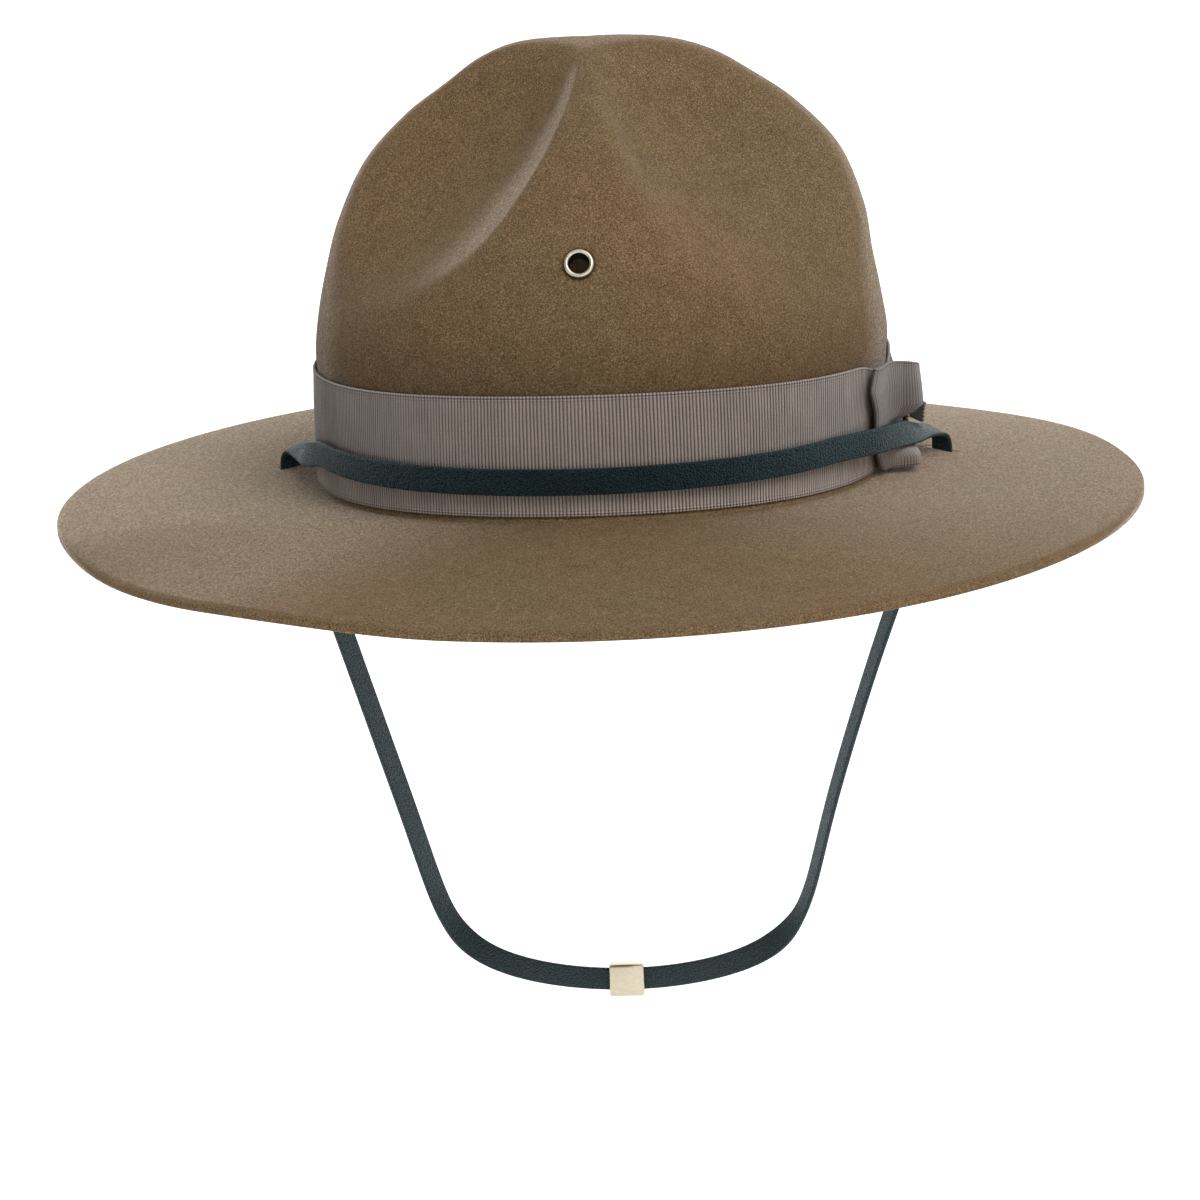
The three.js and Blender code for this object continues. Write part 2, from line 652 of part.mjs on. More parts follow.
// The strap's way down a slot: the stations that bring it there, the bend over the slot's edge, rolled
// towards the outside of the hat, and the start of the leg under the brim.
function slotWay(side) {
  const { centre, crossing, lengthways } = slotPlace(SLOTS[side]);
  const outer = lengthways.clone().multiplyScalar(Math.sign(crossing.x));
  const stations = STRAP_WAYS[side].map((row) => {
    const angle = radians(row.bearing);
    const tilt = radians(row.tilt);
    const height = STRAP_HEIGHT.ends - STRAP_WIDTH * row.fall;
    const outward = outwardAt(angle);
    const face = outward.clone().multiplyScalar(Math.cos(tilt)).addScaledVector(UP, Math.sin(tilt));
    return { place: besideCrown(angle, height, STRAP_FACE + STRAP_WIDTH * row.out), face };
  });
  const at = (across, above) =>
    centre.clone().addScaledVector(crossing, across).addScaledVector(UP, above);
  for (const turn of [0, 45, 90]) {
    const a = radians(turn);
    const roll = radians(BEND_ROLL) * Math.cos(a);
    const level = UP.clone().multiplyScalar(Math.cos(roll)).addScaledVector(outer, Math.sin(roll));
    const face = level.multiplyScalar(Math.cos(a)).addScaledVector(crossing, Math.sin(a));
    const across = BEND_RADIUS * (Math.sin(a) - 1);
    const above = BEND_HEIGHT + BEND_RADIUS * (Math.cos(a) - 1);
    stations.push({ place: at(across, above), face });
  }
  stations.push({ place: at(0, -FELT_WALL / 2), face: crossing });
  stations.push({ place: at(0, -FELT_WALL - LEG_START), face: crossing });
  return stations;
}

// The leg from a slot down to the loop's low part, bowed in a little.
function legStations(side, start) {
  const sign = side === "left" ? 1 : -1;
  const knee = new THREE.Vector3(sign * LOOP_HALF_WIDTH, LOOP_SETBACK, -LOOP_DROP);
  return [0.25, 0.5, 0.75].map((share) => {
    const bow = 4 * share * (1 - share) * LEG_BOW[side];
    const place = start.place.clone().lerp(knee, share);
    place.x -= sign * bow;
    return { place, face: legFace(start.face, share * LEG_TWIST) };
  });
}

// A face of the leg, turned by a share from the way it crosses the slot to straight back.
function legFace(crossing, share) {
  return crossing.clone().lerp(new THREE.Vector3(0, 1, 0), share);
}

// The strap's stations round its whole loop: where its middle runs and which way its outer face looks.
function strapStations() {
  const arc = [];
  for (let i = 0; i <= STRAP_ARC_STEPS; i += 1) {
    const share = i / STRAP_ARC_STEPS;
    const angle = radians(mix(STRAP_LEAVES.right, STRAP_LEAVES.left, share));
    const height = mix(STRAP_HEIGHT.middle, STRAP_HEIGHT.ends, (2 * share - 1) ** 2);
    arc.push({ place: besideCrown(angle, height, STRAP_FACE), face: outwardAt(angle) });
  }
  const leftWay = slotWay("left");
  const rightWay = slotWay("right");
  const leftEnd = leftWay[leftWay.length - 1];
  const rightEnd = rightWay[rightWay.length - 1];
  const low = [];
  for (let i = 0; i <= LOW_STEPS; i += 1) {
    const a = (Math.PI * i) / LOW_STEPS;
    const place = new THREE.Vector3(
      LOOP_HALF_WIDTH * Math.cos(a),
      LOOP_SETBACK,
      -LOOP_DROP - LOOP_SAG * Math.sin(a),
    );
    const end = i < LOW_STEPS / 2 ? leftEnd : rightEnd;
    low.push({ place, face: legFace(end.face, mix(LEG_TWIST, 1, Math.sin(a))) });
  }
  const leftLeg = legStations("left", leftEnd);
  const rightLeg = legStations("right", rightEnd);
  return [...arc, ...leftWay, ...leftLeg, ...low, ...rightLeg.reverse(), ...rightWay.reverse()];
}

function strapCurves() {
  const stations = strapStations();
  const line = new THREE.CatmullRomCurve3(stations.map((s) => s.place), true, "centripetal");
  const faces = new THREE.CatmullRomCurve3(stations.map((s) => s.face), true, "centripetal");
  return { line, faces };
}

// The strap's middle, width and face directions at a share of the way round its list of stations.
function strapFrame({ line, faces }, share) {
  const middle = line.getPoint(share);
  const tangent = line.getTangent(share);
  const across = tangent.clone().cross(faces.getPoint(share)).normalize();
  const face = across.clone().cross(tangent).normalize();
  return { middle, tangent, across, face };
}

// Shares round the strap at even distances along it.
function evenShares(line, steps) {
  const fine = 3000;
  const lengths = line.getLengths(fine);
  const total = lengths[fine];
  const shares = [];
  let k = 0;
  for (let i = 0; i < steps; i += 1) {
    const target = (total * i) / steps;
    while (lengths[k + 1] < target) k += 1;
    shares.push((k + (target - lengths[k]) / (lengths[k + 1] - lengths[k])) / fine);
  }
  return shares;
}

function strapRing({ middle, across, face }, width, thickness) {
  return [
    [-1, -1],
    [1, -1],
    [1, 1],
    [-1, 1],
  ].map(([a, b]) =>
    middle
      .clone()
      .addScaledVector(across, (a * width) / 2)
      .addScaledVector(face, (b * thickness) / 2),
  );
}

function strapGeometry() {
  const curves = strapCurves();
  const rings = evenShares(curves.line, STRAP_STEPS).map((share) =>
    strapRing(strapFrame(curves, share), STRAP_WIDTH, STRAP_THICKNESS),
  );
  return ringBody(rings);
}

// The slide that joins the strap's ends behind the neck: a plain sleeve round the strap.
function slideGeometry() {
  const curves = strapCurves();
  const shares = evenShares(curves.line, STRAP_STEPS);
  const lowest = shares.reduce((best, share) =>
    curves.line.getPoint(share).z < curves.line.getPoint(best).z ? share : best,
  );
  const frame = strapFrame(curves, lowest);
  const sleeve = (grow, end) => {
    const middle = frame.middle.clone().addScaledVector(frame.tangent, (end * SLIDE_LENGTH) / 2);
    return strapRing({ ...frame, middle }, STRAP_WIDTH + 2 * grow, STRAP_THICKNESS + 2 * grow);
  };
  const clear = 2 * FIT_GAP;
  return ringBody([
    sleeve(clear, 1),
    sleeve(clear, -1),
    sleeve(clear + SLIDE_WALL, -1),
    sleeve(clear + SLIDE_WALL, 1),
  ]);
}

const felt = new THREE.MeshStandardMaterial({ color: 0x7d6a50, roughness: 0.95, metalness: 0 });
const ribbon = new THREE.MeshStandardMaterial({ color: 0x80736b, roughness: 0.75, metalness: 0 });
const leather = new THREE.MeshStandardMaterial({ color: 0x1f3236, roughness: 0.45, metalness: 0 });
const metal = new THREE.MeshStandardMaterial({ color: 0xb9ad92, roughness: 0.3, metalness: 1 });

const group = new THREE.Group();
const pieces = [
  ["felt_body", feltGeometry(), felt],
  ["ribbon_band", bandGeometry(), ribbon],
  ["bow_front_loop", loopGeometry(LOOPS.front), ribbon],
  ["bow_rear_loop", loopGeometry(LOOPS.rear), ribbon],
  ["bow_knot", knotGeometry(), ribbon],
  ["bow_tail", tailGeometry(), ribbon],
  ["front_eyelet", eyeletGeometry(), metal],
  ["chin_strap", strapGeometry(), leather],
  ["strap_slide", slideGeometry(), metal],
];
for (const [name, geometry, material] of pieces) {
  const mesh = new THREE.Mesh(geometry, material);
  mesh.name = name;
  group.add(mesh);
}

export default group;
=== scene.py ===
# The campaign hat, dressed: felt, grosgrain ribbon and bow, rolled eyelet and pebbled leather chin strap.
# The tables and sizes are those of the solids, in millimetres, and meshes are made in metres.

import math

import bmesh
import bpy
import numpy as np
from mathutils import Matrix, Vector


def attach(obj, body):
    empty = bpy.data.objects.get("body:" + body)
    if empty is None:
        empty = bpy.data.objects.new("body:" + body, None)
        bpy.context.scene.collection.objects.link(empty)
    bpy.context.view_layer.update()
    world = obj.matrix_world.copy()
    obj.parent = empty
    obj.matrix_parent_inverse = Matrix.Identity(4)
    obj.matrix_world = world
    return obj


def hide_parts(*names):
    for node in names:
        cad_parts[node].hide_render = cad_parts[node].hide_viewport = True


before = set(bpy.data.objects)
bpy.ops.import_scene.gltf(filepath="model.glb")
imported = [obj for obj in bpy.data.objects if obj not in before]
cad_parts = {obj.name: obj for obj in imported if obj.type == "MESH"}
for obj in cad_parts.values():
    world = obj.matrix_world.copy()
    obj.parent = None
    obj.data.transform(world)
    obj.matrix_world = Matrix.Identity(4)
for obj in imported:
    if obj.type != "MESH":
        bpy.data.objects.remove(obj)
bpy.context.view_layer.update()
MM = 0.001

# Felt
FELT_WALL = 2.6
HEAD_HALF_WIDTH = 84.0
HEAD_HALF_LENGTH = 100.2
BASE_HALF_WIDTH = HEAD_HALF_WIDTH + FELT_WALL
BASE_HALF_LENGTH = HEAD_HALF_LENGTH + FELT_WALL
CROWN_HEIGHT = 133.4
BRIM_WIDTH = 80.1
CREASE_RISE = 4.7
EDGE_DROP = {"side": 5.8, "front": 8.4, "rear": 4.9}
CREASE_FILLET = 1.5
# Bearing, reach to either side in degrees, and drop as a share of the brim's width
EDGE_WAVES = ((60, 45, 0.052), (218, 20, 0.016), (243, 16, -0.011))

CROWN_COLUMNS = ("along", "left", "right", "sideHeight", "front", "frontHeight")
CROWN_SECTIONS = (
    (0.0, 1.0, 1.0, 0.0, 1.0, 0.0),
    (0.12, 1.025, 1.004, 0.15, 0.996, 0.15),
    (0.24, 1.043, 0.998, 0.29, 0.985, 0.29),
    (0.34, 1.025, 0.981, 0.395, 0.96, 0.4),
    (0.43, 0.999, 0.951, 0.496, 0.915, 0.495),
    (0.53, 0.975, 0.906, 0.605, 0.85, 0.6),
    (0.65, 0.895, 0.809, 0.737, 0.735, 0.72),
    (0.76, 0.748, 0.66, 0.842, 0.585, 0.825),
    (0.84, 0.603, 0.517, 0.91, 0.44, 0.9),
    (0.91, 0.445, 0.381, 0.968, 0.3, 0.955),
    (0.96, 0.26, 0.23, 0.998, 0.155, 0.99),
    (1.0, 0.0, 0.0, 1.0, 0.0, 1.0),
)
DENT_COLUMNS = ("bearing", "out", "height", "along", "depth", "lip", "ridge")
DENTS = (
    (-139, 0.65, 0.805, 0.395, 0.172, 0.12, 1),
    (-41, 0.7, 0.795, 0.38, 0.142, 0.22, -1),
    (44, 0.68, 0.795, 0.38, 0.142, 0.16, 1),
    (136, 0.66, 0.795, 0.38, 0.142, 0.16, -1),
)
DENT_PITCH = 33
DENT_ACROSS = 0.29
DENT_TAPER = 0.3
DENT_FADE = 0.4
DENT_CORE = 0.2
DENT_REACH = 0.41

# Ribbon and bow
RIBBON_WIDTH = 34.5
RIBBON_THICKNESS = 1.0
RIBBON_LIFT = CREASE_FILLET
FIT_GAP = 0.3
BAND_FACE = FIT_GAP + RIBBON_THICKNESS
BAND_DIP = (-12, 16, 0.13)
BAND_PINCH = 0.7
BOW_BEARING = 8.0
LOOP_TURN = 29.7
LOOP_STAND = 10.2
# Along a loop: its turn, its free and its pressed stand, its foot and its top
LOOP_SECTIONS = (
    (0.1, 0.235, 0.235, 0.13, 0.62),
    (0.202, 0.21, 0.2, 0.1, 0.66),
    (0.337, 0.12, 0.095, 0.0, 0.84),
    (0.606, 0.1, 0.093, 0.0, 0.9),
    (0.875, 0.1, 0.093, 0.0, 0.96),
    (0.98, 0.13, 0.11, 0.0, 0.97),
    (0.97, 0.235, 0.19, 0.0, 0.97),
    (0.832, 0.25, 0.195, 0.0, 0.985),
    (0.737, 0.51, 0.21, 0.0, 0.97),
    (0.643, 1.0, 0.23, 0.0, 0.93),
    (0.455, 0.93, 0.24, 0.0, 0.86),
    (0.32, 0.8, 0.31, 0.04, 0.76),
    (0.222, 0.6, 0.42, 0.1, 0.67),
    (0.168, 0.5, 0.47, 0.12, 0.635),
    (0.1, 0.47, 0.47, 0.12, 0.62),
)
# A loop over its height: where the strap presses on it, how much of its stand it has, how its fold wanders
LOOP_HEIGHTS = (0.0, 0.12, 0.2, 0.28, 0.44, 0.52, 0.6, 0.8, 1.0)
LOOP_PRESS = (0.0, 0.0, 0.85, 1.0, 1.0, 0.35, 0.0, 0.0, 0.0)
LOOP_SHAPE = (1.08, 1.06, 1.0, 1.0, 1.0, 1.04, 1.03, 0.93, 0.8)
LOOP_SHAPE_REAR = (1.08, 1.06, 1.0, 1.0, 1.0, 1.0, 0.95, 0.75, 0.45)
REAR_LOW = 0.1
LOOP_FOLD = (-0.2, -0.1, -0.05, -0.02, 0.02, 0.03, 0.05, 0.14, 0.08)
KNOT_HALF_TURN = 4.2
KNOT_CORNER = 1.6
KNOT_RADIUS = 94.0
KNOT = {"foot": 0.06, "top": 0.7, "back": 0.085, "front": 0.68}
TAIL_LENGTH = 15.0
TAIL_TOOTH = 0.8
TAIL_TEETH = 6
TAIL = {"low": 0.23, "high": 0.42, "turn": 0.6, "lean": 0.19}

# Eyelet
EYELET_HEIGHT = 76.2
EYELET_BORE = 2.9
EYELET_BARREL = 3.2
EYELET_FLANGE = 4.3
EYELET_BACK = 4.1

# Chin strap
STRAP_WIDTH = 7.7
STRAP_THICKNESS = 1.5
STRAP_FACE = BAND_FACE + 1.5 * FIT_GAP + STRAP_THICKNESS / 2
FRONT_STATIONS = 31
STRAP_HEIGHT = {"middle": 10.4, "ends": 12.4}
STRAP_LEAVES = {"right": -155, "left": -38}
SLOT_LENGTH = 11.6
SLOT_OPENING = 3.4
SLOTS = {"right": (171.1, 12.6, 132), "left": (9.3, 21.3, 48)}
STRAP_WAYS = {
    "right": ((196.0, 0.29, 0.06, 2), (188.4, 0.57, 0.15, 16), (180.0, 0.86, 0.3, 38)),
    "left": (
        (-31.0, 0.0, 0.13, 0),
        (-24.0, 0.05, 0.37, 0),
        (-17.0, 0.16, 0.45, 3),
        (-9.4, 0.36, 0.65, 17),
        (-4.3, 0.56, 0.91, 37),
        (0.7, 0.74, 1.2, 56),
    ),
}
BEND_RADIUS = 3.4
BEND_HEIGHT = 6.5
BEND_ROLL = 17.5
LEG_START = 5.0
LEG_TWIST = {"right": -0.31, "left": -1.3}
LEG_BOW = {"right": 0.0, "left": 3.0}
LOOP_DROP = 168
LOOP_SETBACK = 72
LOOP_HALF_WIDTH = 60.6
LOOP_SAG = 24
# The hanging legs are fully twisted after this share of their length
LEG_TWISTED = 0.3
CURVE_STEPS = 40
STRAP_STEP = 0.9
# The strap is smoothed over numbers of its steps, and more so from one height down to another
FACE_SOFTENING = 4.0
LINE_SOFTENING = 1.5
LOOP_SOFTENING = 11.0
LOOP_SOFT_HEIGHTS = (-60.0, -100.0)
STRAP_ROUNDING = 0.55
SLIDE_LENGTH = 11.0
SLIDE_WALL = 1.2
SLIDE_ROUNDING = 0.35

UP = np.array([0.0, 0.0, 1.0])
TURN = 2 * math.pi


def mix(a, b, t):
    return a + (b - a) * t


def unit(v):
    return v / np.linalg.norm(v, axis=-1, keepdims=True)


def times(scalar, vector):
    """Each vector of an array times its own number."""
    return np.asarray(scalar)[..., None] * vector


def smooth_between(u, start, start_slope, end, end_slope):
    """The cubic between two ends with known slopes, at shares u of the way."""
    return (
        (2 * u**3 - 3 * u**2 + 1) * start
        + (u**3 - 2 * u**2 + u) * start_slope
        + (3 * u**2 - 2 * u**3) * end
        + (u**3 - u**2) * end_slope
    )


def xyz(x, y, z):
    """Points from arrays of their three parts."""
    return np.stack(np.broadcast_arrays(x, y, z), axis=-1)


# The crown's columns as smooth curves
KEYS = np.array([row[0] for row in CROWN_SECTIONS])


def crown_column(column, value):
    rows = np.array([row[CROWN_COLUMNS.index(column)] for row in CROWN_SECTIONS])
    last = len(rows) - 1
    before = np.maximum(np.arange(last + 1) - 1, 0)
    after = np.minimum(np.arange(last + 1) + 1, last)
    slopes = (rows[after] - rows[before]) / (KEYS[after] - KEYS[before])
    if column.endswith("Height"):
        slopes[last] = 0.0
    i = np.clip(np.searchsorted(KEYS, value, side="right") - 1, 0, last - 1)
    step = KEYS[i + 1] - KEYS[i]
    u = np.clip((value - KEYS[i]) / step, 0, 1)
    return smooth_between(u, rows[i], step * slopes[i], rows[i + 1], step * slopes[i + 1])


def dent_frames():
    frames = []
    for row in DENTS:
        dent = dict(zip(DENT_COLUMNS, row))
        b = math.radians(dent["bearing"])
        p = math.radians(DENT_PITCH)
        dent["centre"] = xyz(
            BASE_HALF_WIDTH * dent["out"] * math.cos(b),
            BASE_HALF_LENGTH * dent["out"] * math.sin(b),
            CROWN_HEIGHT * dent["height"],
        )
        dent["outward"] = np.array([math.cos(b) * math.cos(p), math.sin(b) * math.cos(p), math.sin(p)])
        dent["sideways"] = np.array([-math.sin(b), math.cos(b), 0.0])
        dent["upward"] = np.cross(dent["outward"], dent["sideways"])
        frames.append(dent)
    return frames


DENT_FRAMES = dent_frames()


def dent_push(dent, point):
    away = point - dent["centre"]
    v = away @ dent["upward"] / (dent["along"] * CROWN_HEIGHT)
    width = DENT_ACROSS * CROWN_HEIGHT * (1 - DENT_TAPER * np.clip(v, -1, 1))
    u = away @ dent["sideways"] / width
    w = np.minimum(away @ dent["outward"], 0) / (DENT_REACH * CROWN_HEIGHT)
    plane = u * u + v * v
    inside = 1 - plane - w * w
    to_ridge = dent["ridge"] * u / np.sqrt(plane + 1e-9)
    fade = (0.5 - 0.5 * to_ridge) ** 1.5 * (plane / (plane + DENT_CORE))
    softness = dent["lip"] + DENT_FADE * fade
    return 0.5 * dent["depth"] * CROWN_HEIGHT * (inside + np.sqrt(inside**2 + softness**2))


def crown_point(angle, along):
    """Points of the crown's outer face, for arrays of angles and of shares of the way up."""
    angle, along = np.broadcast_arrays(np.asarray(angle, float), np.asarray(along, float))
    lengthwise = np.sin(angle) ** 2
    side = np.where(np.cos(angle) > 0, crown_column("left", along), crown_column("right", along))
    out = mix(side, crown_column("front", along), lengthwise)
    tall = mix(crown_column("sideHeight", along), crown_column("frontHeight", along), lengthwise)
    opened = xyz(
        BASE_HALF_WIDTH * out * np.cos(angle),
        BASE_HALF_LENGTH * out * np.sin(angle),
        tall * CROWN_HEIGHT + CREASE_RISE * lengthwise * (1 - along) ** 2,
    )
    pinched = opened.copy()
    for dent in DENT_FRAMES:
        pinched -= times(dent_push(dent, opened), dent["outward"])
    return pinched


def outward_at(angle):
    return unit(xyz(np.cos(angle) / BASE_HALF_WIDTH, np.sin(angle) / BASE_HALF_LENGTH, 0.0))


def wave_drop(wave, angle):
    """The share of its size by which a smooth wave lowers an edge."""
    bearing, reach, share = wave
    away = angle - math.radians(bearing)
    off = np.abs(np.arctan2(np.sin(away), np.cos(away))) / math.radians(reach)
    return share * np.cos(np.minimum(off, 1) * math.pi / 2) ** 2


def brim_point(angle, distance):
    angle, distance = np.broadcast_arrays(np.asarray(angle, float), np.asarray(distance, float))
    lengthwise = np.sin(angle) ** 2
    end = np.where(np.sin(angle) < 0, EDGE_DROP["front"], EDGE_DROP["rear"])
    edge = -mix(EDGE_DROP["side"], end, lengthwise)
    edge = edge - BRIM_WIDTH * sum(wave_drop(wave, angle) for wave in EDGE_WAVES)
    base = xyz(
        BASE_HALF_WIDTH * np.cos(angle),
        BASE_HALF_LENGTH * np.sin(angle),
        mix(CREASE_RISE * lengthwise, edge, distance / BRIM_WIDTH),
    )
    return base + times(distance, outward_at(angle))


def along_at(angle, height):
    """How far up the crown's section a height above the crease lies."""
    angle, height = np.broadcast_arrays(np.asarray(angle, float), np.asarray(height, float))
    crease = CREASE_RISE * np.sin(angle) ** 2
    low = np.zeros(angle.shape)
    high = np.full(angle.shape, 0.9)
    for _ in range(24):
        middle = (low + high) / 2
        under = crown_point(angle, middle)[..., 2] - crease < height
        low = np.where(under, middle, low)
        high = np.where(under, high, middle)
    return (low + high) / 2


def band_along(angle, height):
    return along_at(angle, RIBBON_LIFT + np.asarray(height, float))


def beside_crown(angle, height, distance):
    """Points at a distance out from the crown's face, at heights above the band's lower edge."""
    face = crown_point(angle, band_along(angle, height))
    return face + times(np.broadcast_to(distance, face.shape[:-1]), outward_at(angle))


def eyelet_place():
    front = np.array(-math.pi / 2)
    along = along_at(front, EYELET_HEIGHT - CREASE_RISE)
    step = 0.02
    centre = crown_point(front, along)
    upward = unit(crown_point(front, along + step) - crown_point(front, along - step))
    return centre, np.cross(np.array([1.0, 0.0, 0.0]), upward)


# Meshes

def grid_faces(rows, columns, start=0, wrap_rows=False, wrap_columns=False, flip=False):
    """Quads of a grid whose points run along a row first."""
    faces = []
    for r in range(rows if wrap_rows else rows - 1):
        low, high = start + r * columns, start + (r + 1) % rows * columns
        for c in range(columns if wrap_columns else columns - 1):
            d = (c + 1) % columns
            quad = (low + c, low + d, high + d, high + c)
            faces.append((quad[0], *quad[:0:-1]) if flip else quad)
    return faces


def in_scene(name, data):
    """Puts a mesh, a lamp or a camera in the scene."""
    thing = bpy.data.objects.new(name, data)
    bpy.context.scene.collection.objects.link(thing)
    return thing


def make_object(name, points, faces, material, weave=None, smooth=True):
    """A closed piece from points in millimetres, with every face turned to face out."""
    mesh = bpy.data.meshes.new(name)
    mesh.from_pydata((np.asarray(points) * MM).tolist(), [], faces)
    mesh.update()
    if weave is not None:
        layer = mesh.uv_layers.new(name="weave")
        corners = np.empty(len(mesh.loops), dtype=np.int32)
        mesh.loops.foreach_get("vertex_index", corners)
        layer.data.foreach_set("uv", np.asarray(weave)[corners].ravel())
    mesh.polygons.foreach_set("use_smooth", [smooth] * len(mesh.polygons))
    work = bmesh.new()
    work.from_mesh(mesh)
    bmesh.ops.recalc_face_normals(work, faces=work.faces)
    work.to_mesh(mesh)
    work.free()
    mesh.materials.append(material)
    return in_scene(name, mesh)


def cut_with(thing, tools):
    """Takes closed tools out of a piece and deletes them."""
    for tool in tools:
        cut = thing.modifiers.new("cut", "BOOLEAN")
        cut.operation = "DIFFERENCE"
        cut.solver = "EXACT"
        cut.material_mode = "TRANSFER"
        cut.object = tool
    bpy.context.view_layer.update()
    result = bpy.data.meshes.new_from_object(
        thing.evaluated_get(bpy.context.evaluated_depsgraph_get())
    )
    thing.modifiers.clear()
    old = thing.data
    thing.data = result
    bpy.data.meshes.remove(old)
    for tool in tools:
        bpy.data.objects.remove(tool)


# Node materials

class Nodes:
    """A short way to write a material's nodes."""

    def __init__(self, name):
        self.material = bpy.data.materials.new(name)
        self.material.use_nodes = True
        self.tree = self.material.node_tree
        self.shader = self.tree.nodes["Principled BSDF"]

    def add(self, kind, inputs=None, **settings):
        node = self.tree.nodes.new(kind)
        for key, value in settings.items():
            setattr(node, key, value)
        for key, value in (inputs or {}).items():
            self.put(node.inputs[key], value)
        return node

    def put(self, socket, value):
        if isinstance(value, bpy.types.NodeSocket):
            self.tree.links.new(value, socket)
        else:
            socket.default_value = value

    def math(self, operation, a, b=0.0, c=0.0):
        return self.add("ShaderNodeMath", {0: a, 1: b, 2: c}, operation=operation).outputs[0]

    def noise(self, where, scale, detail=2.0, rough=0.5, stretch=None, swirl=0.0):
        at = where
        if stretch:
            at = self.add("ShaderNodeMapping", {"Vector": where, "Scale": stretch}).outputs[0]
        inputs = {"Vector": at, "Scale": scale, "Detail": detail, "Roughness": rough, "Distortion": swirl}
        return self.add("ShaderNodeTexNoise", inputs).outputs[0]

    def ramp(self, value, stops):
        node = self.add("ShaderNodeValToRGB", {"Fac": value})
        while len(node.color_ramp.elements) < len(stops):
            node.color_ramp.elements.new(0.5)
        for element, (place, colour) in zip(node.color_ramp.elements, stops):
            element.position = place
            element.color = (*colour, 1.0)
        return node.outputs[0]

    def greys(self, value, *stops):
        return self.ramp(value, [(place, (tone,) * 3) for place, tone in stops])

    def between(self, value, low, high, to=(0.0, 1.0)):
        """The share of the way from one value to another, or a number between two others."""
        inputs = {"Value": value, "From Min": low, "From Max": high, "To Min": to[0], "To Max": to[1]}
        return self.add("ShaderNodeMapRange", inputs).outputs[0]

    def blend(self, share, a, b, kind="MIX"):
        node = self.tree.nodes.new("ShaderNodeMix")
        node.data_type = "RGBA"
        node.blend_type = kind
        self.put(node.inputs["Factor"], share)
        self.put(node.inputs["A"], a if not isinstance(a, tuple) else (*a, 1.0))
        self.put(node.inputs["B"], b if not isinstance(b, tuple) else (*b, 1.0))
        return node.outputs["Result"]

    def toned(self, colour, tone):
        return self.blend(1.0, colour, tone, "MULTIPLY")

    def bump(self, height, distance, strength=1.0, after=None):
        inputs = {"Height": height, "Distance": distance, "Strength": strength}
        if after is not None:
            inputs["Normal"] = after
        return self.add("ShaderNodeBump", inputs).outputs[0]

    def finish(self, **sockets):
        for key, value in sockets.items():
            self.put(self.shader.inputs[key.replace("_", " ")], value)
        return self.material


# How many times a metre the felt's and the leather's grains repeat
FLECK_SCALE = 2300.0
HAIR_SCALE = 3900.0
CLUMP_SCALE = 1450.0
PATCH_SCALE = 150.0
BROAD_SCALE = 16.0
CUT_SCALE = 1800.0
PEBBLE_SCALE = 1800.0

# Heights in metres between which the felt changes: off the band, out of the band's shade, and up the nap
OFF_BAND = (0.012, 0.016)
OUT_OF_SHADE = (0.036, 0.08)
NAP_HEIGHTS = (0.0, 0.03)

# Distances in metres from the eyelet's middle over which its dark outline ends
EYELET_SHADE = (0.0043, 0.0053)

FELT_STOPS = (0.38, 0.475, 0.53, 0.64)
FELT_TONES = ((0.042, 0.025, 0.011), (0.110, 0.070, 0.033), (0.172, 0.113, 0.057), (0.33, 0.24, 0.143))


